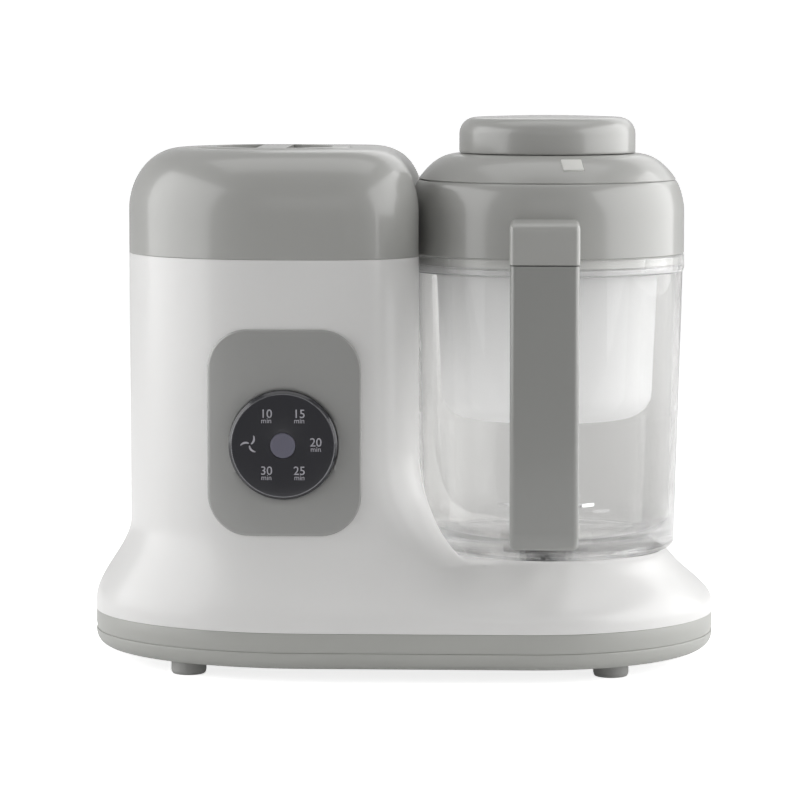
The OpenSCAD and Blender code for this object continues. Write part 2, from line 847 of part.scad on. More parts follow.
module jar_switch() {
    switch_l = 18;
    switch_x = jar_x - seat_r - wall - 1 - switch_l;
    color("black") {
        translate([switch_x, -4, frame_top]) cube([switch_l, 8, 12.5]);
        translate([switch_x + switch_l - 0.01, 0, plunger_z])
            rotate([0, 90, 0]) cylinder(r = plunger_r, h = wall + 1 + 0.5);
    }
}

module cord_gland() {
    color("dimgray") translate([gland_x, gland_y - gland_l, gland_z]) rotate([-90, 0, 0]) difference() {
        union() {
            cylinder(r = gland_flange_r, h = gland_flange_t);
            cylinder(r = gland_r, h = gland_l);
        }
        translate([0, 0, -over]) cylinder(r = gland_bore_r, h = gland_l + 2 * over);
    }
}

// ---- controls on the front

ring_w = 0.95;
disc_edge = 1.2;
label_r = 13.9;
pillar_place = 17;
pillar_r = 3;
disc_back = 6.5;
switch_reach = 5.6;

module plate_band(inset) {
    lows = [plate_rise - plate_h / 2 - 1, plate_rise - plate_h / 2 + 8, plate_rise - plate_h / 2 + 18,
        plate_rise - plate_h / 2 + 30, plate_rise + plate_h / 2 + 1];
    loft([for (r = lows) skin(band_top + r, true, inset)]);
}

module control_plate() {
    color("gray") difference() {
        intersection() {
            plate_band(-plate_t);
            translate([plate_x, 0, band_top + plate_rise]) rotate([90, 0, 0])
                linear_extrude(tower_d) rounded(plate_w, plate_h, plate_corner);
        }
        plate_band(0);
        at_disc(front_y + 14) cylinder(r = disc_r + ring_w + touch, h = 30);
    }
}

module control_disc() {
    front = plate_t + disc_proud;
    color("#26262c") at_disc() difference() {
        union() {
            cylinder(r = disc_r, h = front - disc_edge);
            translate([0, 0, front - disc_edge - 0.01])
                cylinder(r1 = disc_r, r2 = disc_r - disc_edge, h = disc_edge + 0.01);
            translate([0, 0, -disc_back]) tube(window_r - touch, window_r - 2, disc_back + 0.01);
            for (a = [90, 210, 330]) rotate([0, 0, a])
                translate([pillar_place, 0, -disc_back]) cylinder(r = pillar_r, h = disc_back + 0.01);
        }
        translate([0, 0, -over]) cylinder(r = button_r + touch, h = front + 2 * over);
        translate([0, 0, -over]) cylinder(r = button_r + 1.4, h = over + front - 2.4);
        for (a = [90, 210, 330]) rotate([0, 0, a])
            translate([pillar_place, 0, -disc_back - over]) cylinder(r = screw_r, h = 5 + over);
    }
}

module disc_ring() {
    color("lightgray") at_disc() tube(disc_r + ring_w, disc_r + 0.02, plate_t + disc_proud - disc_edge);
}

module power_button() {
    back = switch_reach - disc_back + button_travel + touch;
    front = plate_t + disc_proud;
    color("#6a6673") at_disc() {
        translate([0, 0, back]) cylinder(r = button_r, h = front + 0.3 - back);
        translate([0, 0, back]) cylinder(r = button_r + 1, h = front - 2.4 - touch - back);
    }
}

// ---- jar with its handle and blade

jar_floor = deck_z + 6;
jar_floor_t = 3.1;
jar_foot = deck_z + 0.7;
rim_z = jar_top - jar_rim_h;
rim_in = jar_rim_r - 2.3;
stem_r = 8.5;
handle_z = deck_z + handle_rise;

function jar_out(z) = jar_foot_r + (jar_top_r - jar_foot_r) * (z - jar_foot) / (rim_z - jar_foot);

module jar() {
    wall_in = jar_out(jar_floor + floor_fillet) - jar_wall;
    color("#dfe6e6", 0.5) at_jar() {
        rotate_extrude() polygon(concat(
            [[stem_r + 0.02, jar_floor - jar_floor_t], [skirt_r - jar_wall, jar_floor - jar_floor_t],
                [skirt_r - jar_wall, jar_z], [skirt_r, jar_z], [skirt_r, jar_foot],
                [jar_foot_r - 2.4, jar_foot], [jar_foot_r - 0.7, jar_foot + 0.7], [jar_foot_r, jar_foot + 2.4],
                [jar_top_r, rim_z], [jar_rim_r, rim_z + 0.4], [jar_rim_r, jar_top], [rim_in, jar_top],
                [rim_in, rim_z], [jar_out(rim_z) - jar_wall, rim_z]],
            [for (a = [0:15:90])
                [wall_in - floor_fillet * (1 - cos(a)), jar_floor + floor_fillet * (1 - sin(a))]],
            [[stem_r + 0.02, jar_floor]]
        ));
        for (z = [handle_z + 1, rim_z - arm_h + 1]) difference() {
            translate([-5, -jar_out(z) - 5.5, z]) cube([10, 7, arm_h - 3]);
            translate([0, 0, z - over]) cylinder(r = jar_out(z) - 0.8, h = arm_h);
            translate([0, 0, z + (arm_h - 3) / 2]) rotate([90, 0, 0]) cylinder(r = screw_r, h = 100);
        }
    }
}

handle_edge = 7;

// the handle's side view, in X = reach from the jar axis and Y = height
module handle_profile() {
    arm_end = jar_foot_r - 6;
    translate([handle_reach - grip_t, handle_z + handle_edge])
        square([grip_t, jar_top - handle_z - handle_edge]);
    translate([arm_end, handle_z]) square([handle_reach - handle_edge - arm_end, arm_h]);
    translate([arm_end, jar_top - arm_h]) square([handle_reach - 1 - arm_end, arm_h]);
    translate([handle_reach - handle_edge, handle_z + handle_edge]) circle(handle_edge);
}

// the handle's view from above, with its front corners rounded
module handle_plan(h) {
    linear_extrude(h) {
        translate([-handle_w / 2, -handle_reach + handle_edge]) square([handle_w, handle_reach - 50]);
        translate([-handle_w / 2 + handle_edge, -handle_reach]) square([handle_w - 2 * handle_edge, 20]);
        for (s = [-1, 1])
            translate([s * (handle_w / 2 - handle_edge), -handle_reach + handle_edge]) circle(handle_edge);
    }
}

module jar_handle() {
    color("gray") at_jar() difference() {
        intersection() {
            rotate([90, 0, -90]) translate([0, 0, -handle_w]) linear_extrude(2 * handle_w) handle_profile();
            translate([0, 0, handle_z - over]) handle_plan(jar_h);
        }
        translate([0, 0, jar_foot]) cylinder(r1 = jar_foot_r + touch, r2 = jar_top_r + touch, h = rim_z - jar_foot);
        translate([0, 0, rim_z - 0.02]) cylinder(r = jar_rim_r + touch, h = jar_rim_h + over);
        for (z = [handle_z + 1, rim_z - arm_h + 1]) {
            translate([-5 - touch, -jar_out(z) - 5.5 - touch, z - touch])
                cube([10 + 2 * touch, 9, arm_h - 3 + 2 * touch]);
            translate([0, 0, z + (arm_h - 3) / 2]) rotate([90, 0, 0]) cylinder(r = screw_r, h = jar_out(z) + 14);
        }
    }
}

module handle_screws() {
    for (z = [handle_z + 1, rim_z - arm_h + 1])
        at_jar(z + (arm_h - 3) / 2) translate([0, -jar_out(z) - 1, 0])
            rotate([90, 0, 0]) color("silver") cylinder(r = screw_r - 0.05, h = 12);
}

stem_low = jar_floor - jar_floor_t - 4;
hub_top = jar_floor + blade_rise - 3.2;

module blade_hub() {
    color("whitesmoke") at_jar() difference() {
        union() {
            translate([0, 0, stem_low]) cylinder(r = stem_r - 0.02, h = jar_floor - stem_low + 1);
            translate([0, 0, jar_floor]) cylinder(r = 15, h = 2.4);
            translate([0, 0, jar_floor]) cylinder(r1 = 12, r2 = 7.5, h = hub_top - jar_floor);
        }
        translate([0, 0, stem_low - over]) cylinder(r = blade_shaft_r + run_fit, h = 60);
    }
}

module blade_nut() {
    color("gray") at_jar(jar_floor - jar_floor_t - 3.2) difference() {
        cylinder(r = 14, h = 3.2, $fn = 6);
        translate([0, 0, -over]) cylinder(r = stem_r, h = 3.2 + 2 * over);
    }
}

blade_z = jar_floor + blade_rise;
raised_start = 6;   // the raised arms leave the blade's disc clear of the nut
jar_coupling_top = stem_low - 0.4;
jar_coupling_z = seat_z + coupling_gap + 0.9;

module blade_shaft() {
    color("silver") at_jar(jar_coupling_top - 2.4) cylinder(r = blade_shaft_r, h = blade_z + 5 - jar_coupling_top + 2.4);
}

module blade_arm(r) {
    linear_extrude(blade_t) polygon([[0, -4], [r - 5, -4.5], [r, 0.5], [r - 3, 2.5], [0, 4]]);
}

module blade() {
    color("silver") at_jar(blade_z) difference() {
        union() {
            cylinder(r = 6.5, h = blade_t);
            for (a = [0, 180]) rotate([0, 0, a]) blade_arm(blade_r);
            for (a = [90, 270]) rotate([0, 0, a])
                translate([raised_start, 0, 0]) rotate([0, -28, 0]) blade_arm(blade_r - raised_start);
        }
        translate([0, 0, -over]) cylinder(r = blade_shaft_r + 0.01, h = 12);
    }
}

module cap_nut() {
    color("silver") at_jar(blade_z + blade_t + touch / 2) difference() {
        union() {
            cylinder(r = 5.6, h = 4.4, $fn = 6);
            translate([0, 0, 4.39]) cylinder(r1 = 4.6, r2 = 2.6, h = 2.4);
        }
        translate([0, 0, -over]) cylinder(r = blade_shaft_r + 0.01, h = over + 3.6);
    }
}

module jar_coupling() {
    color("dimgray") at_jar() difference() {
        union() {
            translate([0, 0, jar_coupling_z]) tube(coupling_r, dog_outer, jar_coupling_top - jar_coupling_z);
            translate([0, 0, jar_coupling_top - 2.4]) cylinder(r = coupling_r, h = 2.4);
            translate([0, 0, jar_coupling_z]) for (i = [0:dogs - 1])
                dog(dog_inner, dog_outer + 0.5, jar_coupling_top - jar_coupling_z - 0.01, i * 360 / dogs);
        }
        translate([0, 0, jar_coupling_top - 2.4 - over]) cylinder(r = blade_shaft_r + 0.01, h = 2.4 + 2 * over);
    }
}

// ---- steaming basket

flange_t = 1.8;
basket_z = rim_z + touch / 2 - basket_depth;

module steam_basket() {
    top_z = rim_z + touch / 2;
    wall_out = basket_foot_r + (basket_top_r - basket_foot_r) * basket_edge / basket_depth;
    color("white", 0.8) at_jar() difference() {
        rotate_extrude() polygon(concat(
            [[0, basket_z]],
            [for (a = [0:15:90])
                [wall_out - basket_edge * (1 - sin(a)), basket_z + basket_edge * (1 - cos(a))]],
            [[basket_top_r, top_z], [rim_in - 2 * touch, top_z], [rim_in - 2 * touch, top_z + flange_t],
                [basket_top_r - basket_wall, top_z + flange_t]],
            [for (a = [90:-15:0])
                let (r = basket_edge - basket_wall)
                [wall_out - basket_wall - r * (1 - sin(a)), basket_z + basket_wall + r * (1 - cos(a))]],
            [[0, basket_z + basket_wall]]
        ));
        for (i = [0:basket_slots - 1]) rotate([0, 0, 360 * i / basket_slots]) {
            translate([20, -1.2, basket_z - over]) cube([13, 2.4, basket_wall + 2 * over]);
            translate([basket_foot_r - 6, -1, basket_z + basket_edge + 3]) cube([12, 2, 12]);
        }
        for (i = [0:basket_slots / 2 - 1]) rotate([0, 0, 720 * i / basket_slots + 11])
            translate([7, -1.2, basket_z - over]) cube([9, 2.4, basket_wall + 2 * over]);
    }
}

// ---- lid with its tab, dome, vent and feed cap

plug_r = rim_in - 2.4;
plug_z = rim_z + flange_t + 0.9;
dome_power = 1.8;
dome_run = dome_r - dome_top_r;

module lid_seal() {
    color("gainsboro") at_jar(plug_z) tube(rim_in - 2 * touch, plug_r + touch, lid_z - plug_z - touch);
}

function ring_out(t) = [dome_r + (jar_rim_r - dome_r) * (1 - pow(t, 2)),
    lid_z + lid_upright + (lid_ring_h - lid_upright) * t];

module lid_base() {
    steps = [0:0.25:1];
    color("darkgray") at_jar() difference() {
        union() {
            rotate_extrude() polygon(concat(
                [[plug_r, lid_z], [jar_rim_r, lid_z]],
                [for (t = steps) ring_out(t)],
                [for (t = [1:-0.25:0]) ring_out(t) - [lid_wall, 0]],
                [[jar_rim_r - lid_wall, lid_z + lid_wall], [plug_r - 2.4, lid_z + lid_wall],
                    [plug_r - 2.4, plug_z], [plug_r, plug_z]]
            ));
            difference() {
                translate([0, 0, lid_z]) handle_plan(tab_h);
                translate([0, 0, lid_z - over]) cylinder(r = jar_rim_r - lid_wall / 2, h = tab_h + 2 * over);
            }
        }
        translate([-jar_rim_r - over, 0, steam_z]) rotate([0, 90, 0])
            cylinder(r = nozzle_r - nozzle_wall + 0.5, h = 2 * lid_wall);
    }
}

function dome_height(r) = dome_z + dome_h * (1 - pow(max(0, r - dome_top_r) / dome_run, dome_power));

vent_r = dome_top_r + 0.6 * dome_run;
vent_slope = atan(dome_power * dome_h / dome_run * pow(0.6, dome_power - 1));

module at_vent() {
    at_jar() rotate([0, 0, vent_turn - 90]) translate([vent_r, 0, dome_height(vent_r)])
        rotate([0, vent_slope, 0]) children();
}

module lid_dome() {
    color("darkgray") difference() {
        at_jar() rotate_extrude() polygon(concat(
            [for (k = [0:8]) let (r = dome_r - dome_run * k / 8) [r, dome_height(r)]],
            [[feed_r, dome_top], [feed_r, dome_top - 7], [feed_r + 2.4, dome_top - 7],
                [feed_r + 2.4, dome_top - lid_wall]],
            [for (k = [8:-1:1])
                let (r = dome_r - lid_wall - (dome_run - lid_wall) * k / 8)
                [r, dome_height(r + lid_wall * (1 - k / 8)) - lid_wall * k / 8 - (k < 8 ? 0.9 : 0)]],
            [[dome_r - lid_wall, dome_z]]
        ));
        at_vent() cube([vent_l + 2 * touch, vent_w + 2 * touch, 12], center = true);
    }
}

module steam_vent() {
    color("gainsboro") at_vent() difference() {
        translate([0, 0, -1.2]) cube([vent_l, vent_w, 3], center = true);
        for (y = [-2.4, 0, 2.4]) translate([0, y, 0]) cube([vent_l - 2.6, 1, 8], center = true);
    }
}

module feed_cap() {
    plug = feed_r - 1.9;
    color("gray") at_jar() rotate_extrude() polygon(concat(
        [[0, dome_top - 9.5], [plug, dome_top - 9.5], [plug, feed_cap_z], [feed_cap_r, feed_cap_z]],
        [for (a = [0:15:90])
            [feed_cap_r - feed_cap_edge * (1 - cos(a)),
                feed_cap_z + feed_cap_h - feed_cap_edge * (1 - sin(a))]],
        [[0, feed_cap_z + feed_cap_h], [0, feed_cap_z + feed_cap_h - lid_wall]],
        [for (a = [90:-15:0])
            [feed_cap_r - feed_cap_edge - (feed_cap_edge - lid_wall) * -cos(a),
                feed_cap_z + feed_cap_h - feed_cap_edge + (feed_cap_edge - lid_wall) * sin(a)]],
        [[feed_cap_r - lid_wall, feed_cap_z + lid_wall], [plug - 2.4, feed_cap_z + lid_wall],
            [plug - 2.4, dome_top - 7.4], [0, dome_top - 7.4]]
    ));
}

module feed_cap_seal() {
    color("gainsboro") at_jar(dome_top - 5.5) tube(feed_r - touch, feed_r - 1.9 + touch / 2, 2.4);
}

// ---- tank lid

lid_flange = 3.4;
hollow_r = neck_r - 3.2;
lid_skirt_r = neck_r - 2.2;

module tank_lid() {
    z0 = neck_top + touch;
    top = tower_top + 0.4;
    color("gray") at_tank() difference() {
        union() {
            translate([0, 0, z0]) cylinder(r = tank_lid_r, h = top - z0);
            translate([0, 0, top - hollow_depth - 2]) cylinder(r = lid_skirt_r, h = hollow_depth);
            translate([0, 0, neck_top - 10]) tube(lid_skirt_r, lid_skirt_r - 2.2, 10.2);
        }
        for (s = [-1, 1]) translate([0, 0, top - hollow_depth]) intersection() {
            cylinder(r = hollow_r, h = hollow_depth + over);
            translate([s > 0 ? grip_bar_w / 2 : -60 - grip_bar_w / 2, -30, 0]) cube([60, 60, 20]);
        }
    }
}

module tank_lid_seal() {
    color("firebrick") at_tank(neck_top - 6) tube(neck_r - touch, lid_skirt_r + touch / 2, 3);
}

// ---- the pieces, moved so that the whole stands centred on the origin

module place() {
    translate([0, axis_y, 0]) children();
}

place() main_housing();
place() base_band();
place() bottom_cover();
place() feet();
place() housing_screws();
place() tower_cap();
place() control_plate();
place() control_disc();
place() disc_ring();
place() power_button();
place() control_board();
place() tact_switch();
place() indicator_leds();
place() board_screws();
place() boiler_tank();
place() tank_neck();
place() boiler_stand();
place() heater_plate();
place() thermostat();
place() thermal_fuse();
place() steam_hose();
place() steam_nozzle();
place() nozzle_seal();
place() drive_frame();
place() frame_screws();
place() motor();
place() motor_shaft();
place() drive_pulley();
place() cooling_fan();
place() drive_belt();
place() driven_pulley();
place() drive_shaft();
place() drive_coupling();
place() lower_bearing();
place() upper_bearing();
place() shaft_seal();
place() power_board();
place() jar_switch();
place() cord_gland();
place() jar();
place() jar_handle();
place() handle_screws();
place() blade_hub();
place() blade_nut();
place() blade_shaft();
place() blade();
place() cap_nut();
place() jar_coupling();
place() steam_basket();
place() lid_seal();
place() lid_base();
place() lid_dome();
place() steam_vent();
place() feed_cap();
place() feed_cap_seal();
place() tank_lid();
place() tank_lid_seal();
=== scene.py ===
import math
import bpy
import numpy as np
from mathutils import Matrix, Vector


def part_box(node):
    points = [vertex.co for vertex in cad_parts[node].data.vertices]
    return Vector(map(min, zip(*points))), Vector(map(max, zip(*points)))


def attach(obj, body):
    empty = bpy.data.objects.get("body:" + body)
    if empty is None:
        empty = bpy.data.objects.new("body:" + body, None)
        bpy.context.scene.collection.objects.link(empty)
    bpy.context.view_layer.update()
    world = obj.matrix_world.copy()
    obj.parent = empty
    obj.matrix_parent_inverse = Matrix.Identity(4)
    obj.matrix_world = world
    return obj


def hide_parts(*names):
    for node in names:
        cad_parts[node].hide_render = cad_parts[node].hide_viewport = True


# Baby food maker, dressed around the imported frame. Shapes are drawn in millimetres from the base's
# middle, as on a drawing board, and put into the frame's metres when a piece is finished.
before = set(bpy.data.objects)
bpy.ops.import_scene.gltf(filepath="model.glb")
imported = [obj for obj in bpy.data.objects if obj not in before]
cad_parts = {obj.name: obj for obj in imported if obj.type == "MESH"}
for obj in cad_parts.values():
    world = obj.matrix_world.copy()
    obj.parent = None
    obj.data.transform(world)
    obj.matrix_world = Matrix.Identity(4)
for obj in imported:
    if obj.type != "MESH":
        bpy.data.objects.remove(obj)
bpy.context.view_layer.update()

toMetres = 0.001
bandLow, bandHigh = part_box("base_band")
capLow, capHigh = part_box("feed_cap")
lidLow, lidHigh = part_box("tank_lid")
plateLow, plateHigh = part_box("control_plate")
midY = (bandLow.y + bandHigh.y) / 2 / toMetres
baseW = (bandHigh.x - bandLow.x) / toMetres
baseD = (bandHigh.y - bandLow.y) / toMetres
jarX = (capLow.x + capHigh.x) / 2 / toMetres
tankX = (lidLow.x + lidHigh.x) / 2 / toMetres
plateX = (plateLow.x + plateHigh.x) / 2 / toMetres
coverTop = bandLow.z / toMetres
bandTop = bandHigh.z / toMetres


def deselect():
    if bpy.context.object and bpy.context.object.mode != "OBJECT":
        bpy.ops.object.mode_set(mode="OBJECT")
    bpy.ops.object.select_all(action="DESELECT")


def pick(*pieces):
    deselect()
    for piece in pieces:
        piece.select_set(True)
    bpy.context.view_layer.objects.active = pieces[0]


def editAll(piece):
    pick(piece)
    bpy.ops.object.mode_set(mode="EDIT")
    bpy.ops.mesh.select_all(action="SELECT")


def tidyMesh(piece, gap=0.002):
    editAll(piece)
    bpy.ops.mesh.remove_doubles(threshold=gap)
    bpy.ops.mesh.dissolve_degenerate(threshold=gap / 2)
    bpy.ops.mesh.delete_loose()
    bpy.ops.mesh.select_all(action="SELECT")
    bpy.ops.mesh.normals_make_consistent(inside=False)
    bpy.ops.object.mode_set(mode="OBJECT")


def vertPlaces(piece):
    flat = np.zeros(len(piece.data.vertices) * 3)
    piece.data.vertices.foreach_get("co", flat)
    return flat.reshape(-1, 3)


def placeVerts(piece, points):
    piece.data.vertices.foreach_set("co", np.asarray(points, float).ravel())
    piece.data.update()


def softened(corners, steps=5):
    # a closed outline; a corner given as (a, b, radius) becomes an arc of that radius
    outline = []
    count = len(corners)
    for i, corner in enumerate(corners):
        here = Vector(corner[:2])
        if len(corner) < 3:
            outline.append(tuple(here))
            continue
        back = Vector(corners[i - 1][:2]) - here
        ahead = Vector(corners[(i + 1) % count][:2]) - here
        half = back.angle(ahead) / 2
        reach = min(corner[2] / math.tan(half), back.length * 0.49, ahead.length * 0.49)
        radius = reach * math.tan(half)
        centre = here + (back.normalized() + ahead.normalized()).normalized() * radius / math.sin(half)
        first = here + back.normalized() * reach - centre
        last = here + ahead.normalized() * reach - centre
        turn = first.angle(last)
        for k in range(steps + 1):
            t = k / steps
            arm = (first * math.sin((1 - t) * turn) + last * math.sin(t * turn)) / math.sin(turn)
            outline.append(tuple(centre + arm))
    return outline


def turned(name, profile, x=0.0, steps=128):
    # a lathe piece round the vertical axis at x; the profile is a closed list of (radius, height)
    deselect()
    bpy.ops.mesh.primitive_circle_add(vertices=len(profile), radius=1, fill_type="NOTHING")
    piece = bpy.context.object
    piece.name = name
    placeVerts(piece, [(x + r, 0, z) for r, z in profile])
    editAll(piece)
    bpy.ops.mesh.spin(steps=steps, angle=math.tau, center=(x, 0, 0), axis=(0, 0, 1))
    bpy.ops.object.mode_set(mode="OBJECT")
    tidyMesh(piece)
    return piece


def ringed(name, rings, closed=False):
    # a skin through rings of equal length; closed joins the last ring to the first, else both are filled
    rings = [list(ring) for ring in rings]
    if closed:
        rings.append(rings[0])
    around = len(rings[0])
    deselect()
    bpy.ops.mesh.primitive_grid_add(x_subdivisions=around, y_subdivisions=len(rings) - 1, size=1)
    piece = bpy.context.object
    piece.name = name
    placeVerts(piece, [point for ring in rings for point in ring + ring[:1]])
    tidyMesh(piece)
    if not closed:
        pick(piece)
        bpy.ops.object.mode_set(mode="EDIT")
        bpy.ops.mesh.select_all(action="DESELECT")
        bpy.ops.mesh.select_mode(type="EDGE")
        bpy.ops.mesh.select_non_manifold()
        bpy.ops.mesh.fill_holes(sides=0)
        bpy.ops.mesh.select_all(action="SELECT")
        bpy.ops.mesh.normals_make_consistent(inside=False)
        bpy.ops.mesh.select_mode(type="VERT")
        bpy.ops.object.mode_set(mode="OBJECT")
    return piece


def applyModifier(piece, kind, **settings):
    pick(piece)
    step = piece.modifiers.new(kind.title(), kind)
    for key, value in settings.items():
        setattr(step, key, value)
    bpy.ops.object.modifier_apply(modifier=step.name)


def cutAway(piece, cutter, keep="DIFFERENCE"):
    applyModifier(piece, "BOOLEAN", operation=keep, object=cutter, solver="EXACT")
    bpy.data.objects.remove(cutter)


def rod(radius, length, at, turn=(0, 0, 0), sides=96):
    deselect()
    bpy.ops.mesh.primitive_cylinder_add(vertices=sides, radius=radius, depth=length, location=at,
                                        rotation=turn)
    bpy.ops.object.transform_apply(location=True, rotation=True, scale=True)
    return bpy.context.object


def block(size, at, turn=(0, 0, 0)):
    deselect()
    bpy.ops.mesh.primitive_cube_add(size=1, location=at, rotation=turn, scale=size)
    bpy.ops.object.transform_apply(location=True, rotation=True, scale=True)
    return bpy.context.object


def joined(name, pieces):
    pick(*pieces)
    bpy.ops.object.join()
    bpy.context.object.name = name
    return bpy.context.object


def softenEdges(piece, width, angle=40, segments=3):
    applyModifier(piece, "BEVEL", width=width, segments=segments, limit_method="ANGLE",
                  angle_limit=math.radians(angle), harden_normals=False)


def finished(piece, carrier, material, replaces=(), smooth=35):
    # puts a piece into the frame's place and metres, on the body that carries it, with its finish
    piece.data.transform(Matrix.Scale(toMetres, 4) @ Matrix.Translation((0, midY, 0)))
    pick(piece)
    bpy.ops.object.shade_smooth_by_angle(angle=math.radians(smooth))
    piece.data.materials.clear()
    piece.data.materials.append(material)
    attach(piece, carrier)
    if replaces:
        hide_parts(*replaces)
    return piece


class Link:
    # a value in a material; sums and products of links and numbers add their Math nodes
    def __init__(self, tree, socket):
        self.tree = tree
        self.socket = socket

    def math(self, operation, first, second):
        node = self.tree.nodes.new("ShaderNodeMath")
        node.operation = operation
        for socket, value in zip(node.inputs, (first, second)):
            if isinstance(value, Link):
                self.tree.links.new(value.socket, socket)
            else:
                socket.default_value = value
        return Link(self.tree, node.outputs[0])

    def __add__(self, other):
        return self.math("ADD", self, other)

    __radd__ = __add__

    def __mul__(self, other):
        return self.math("MULTIPLY", self, other)

    __rmul__ = __mul__

    def __sub__(self, other):
        return self.math("SUBTRACT", self, other)

    def __rsub__(self, other):
        return self.math("SUBTRACT", other, self)


class Finish:
    # one material under construction
    def __init__(self, name, colour, roughness, **constants):
        self.material = bpy.data.materials.new(name)
        self.material.use_nodes = True
        self.tree = self.material.node_tree
        self.surface = self.tree.nodes["Principled BSDF"]
        self.output = self.tree.nodes["Material Output"]
        self.colour = (*colour, 1)
        self.roughness = roughness
        self.surface.inputs["Base Color"].default_value = self.colour
        self.surface.inputs["Roughness"].default_value = roughness
        for key, value in constants.items():
            self.surface.inputs[key.replace("_", " ")].default_value = value

    def add(self, kind, settings, values, output=0):
        node = self.tree.nodes.new(kind)
        for key, value in settings.items():
            if key == "stops":
                ramp = node.color_ramp.elements
                while len(ramp) < len(value):
                    ramp.new(0.5)
                for stop, (place, colour) in zip(ramp, value):
                    stop.position = place
                    stop.color = colour
            else:
                setattr(node, key, value)
        for key, value in values.items():
            if isinstance(value, Link):
                self.tree.links.new(value.socket, node.inputs[key])
            else:
                node.inputs[key].default_value = value
        return Link(self.tree, node.outputs[output])

    def feed(self, socket, link):
        self.tree.links.new(link.socket, self.surface.inputs[socket])

    def place(self):
        return self.add("ShaderNodeTexCoord", {}, {}, "Object")

    def noise(self, scale, detail=3.0, stretch=None):
        where = self.place()
        if stretch:
            where = self.add("ShaderNodeMapping", {}, {"Vector": where, "Scale": stretch})
        return self.add("ShaderNodeTexNoise", {}, {"Vector": where, "Scale": scale, "Detail": detail}, "Fac")

    def mottle(self, noise, spread, second=None):
        # the colour wanders by spread about its mean
        dark = tuple(c * (1 - spread) for c in self.colour[:3]) + (1,)
        light = second or tuple(min(1, c * (1 + spread)) for c in self.colour[:3]) + (1,)
        mixed = self.add("ShaderNodeMix", {"data_type": "RGBA"}, {"Factor": noise}, 2)
        node = mixed.socket.node
        node.inputs[6].default_value = dark
        node.inputs[7].default_value = light
        self.feed("Base Color", mixed)

    def rough(self, noise, spread):
        self.feed("Roughness", noise * (2 * spread) + (self.roughness - spread))

    def bump(self, height, depth, strength=1.0):
        normal = self.add("ShaderNodeBump", {}, {"Height": height, "Distance": depth, "Strength": strength})
        self.feed("Normal", normal)


def mouldedPlastic(name, colour, roughness, skin=0.00001, **constants):
    # moulded plastic: faint flow clouds, slightly uneven gloss and a fine orange-peel skin
    finish = Finish(name, colour, roughness, **constants)
    clouds = finish.noise(14, 3)
    finish.mottle(clouds, 0.012)
    finish.rough(finish.noise(45, 2), 0.03)
    finish.bump(finish.noise(900, 2), skin, 0.35)
    return finish.material


def turnedSteel(name, colour, roughness):
    # fine turning marks round the vertical axis with a little colour drift
    finish = Finish(name, colour, roughness, Metallic=1.0)
    finish.mottle(finish.noise(60, 2), 0.05)
    marks = finish.noise(40, 4, (1, 1, 60))
    finish.rough(marks, 0.08)
    finish.bump(marks, 0.00002, 0.4)
    return finish.material


def softRubber(name, colour, roughness=0.55):
    finish = Finish(name, colour, roughness)
    grain = finish.noise(500, 4)
    finish.mottle(grain, 0.05)
    finish.rough(grain, 0.06)
    finish.bump(grain, 0.00004, 0.5)
    return finish.material


def circuitBoard(name, colour):
    # solder mask with lighter tracks running under it
    finish = Finish(name, colour, 0.35)
    tracks = finish.add("ShaderNodeTexBrick", {}, {"Vector": finish.place(), "Scale": 160.0}, "Fac")
    finish.mottle(tracks, 0.35)
    finish.rough(finish.noise(300), 0.06)
    return finish.material


whitePlastic = mouldedPlastic("whitePlastic", (0.82, 0.815, 0.805), 0.32, Coat_Weight=0.15,
                              Coat_Roughness=0.1)
greyPlastic = mouldedPlastic("greyPlastic", (0.405, 0.405, 0.389), 0.38, Coat_Weight=0.65,
                             Coat_Roughness=0.14)
greySatin = mouldedPlastic("greySatin", (0.45, 0.453, 0.43), 0.36)
plateGrey = mouldedPlastic("plateGrey", (0.345, 0.345, 0.336), 0.32, Coat_Weight=0.7, Coat_Roughness=0.1)
handleGrey = mouldedPlastic("handleGrey", (0.292, 0.294, 0.282), 0.3, Coat_Weight=0.8, Coat_Roughness=0.14)
pianoBlack = mouldedPlastic("pianoBlack", (0.012, 0.012, 0.017), 0.2, skin=0.000003, Coat_Weight=0.3,
                            Coat_Roughness=0.04)
buttonLilac = mouldedPlastic("buttonLilac", (0.14, 0.136, 0.18), 0.35)
printInk = mouldedPlastic("printInk", (0.44, 0.43, 0.47), 0.4)
palePlastic = mouldedPlastic("palePlastic", (0.72, 0.72, 0.69), 0.4)
darkPlastic = mouldedPlastic("darkPlastic", (0.06, 0.06, 0.065), 0.4)
nylonPlastic = mouldedPlastic("nylonPlastic", (0.55, 0.55, 0.52), 0.5)
footRubber = softRubber("footRubber", (0.42, 0.42, 0.41))
beltRubber = softRubber("beltRubber", (0.025, 0.025, 0.025))
clearSilicone = softRubber("clearSilicone", (0.7, 0.7, 0.68), 0.4)
redSilicone = softRubber("redSilicone", (0.5, 0.09, 0.05), 0.4)
bladeSteel = turnedSteel("bladeSteel", (0.72, 0.72, 0.73), 0.2)
groundSteel = turnedSteel("groundSteel", (0.6, 0.6, 0.62), 0.3)
castAlloy = turnedSteel("castAlloy", (0.5, 0.5, 0.51), 0.5)
motorSteel = turnedSteel("motorSteel", (0.42, 0.43, 0.45), 0.4)
brightTrim = turnedSteel("brightTrim", (0.2, 0.2, 0.21), 0.2)
boardGreen = circuitBoard("boardGreen", (0.02, 0.16, 0.06))
fuseCeramic = softRubber("fuseCeramic", (0.62, 0.5, 0.36), 0.5)


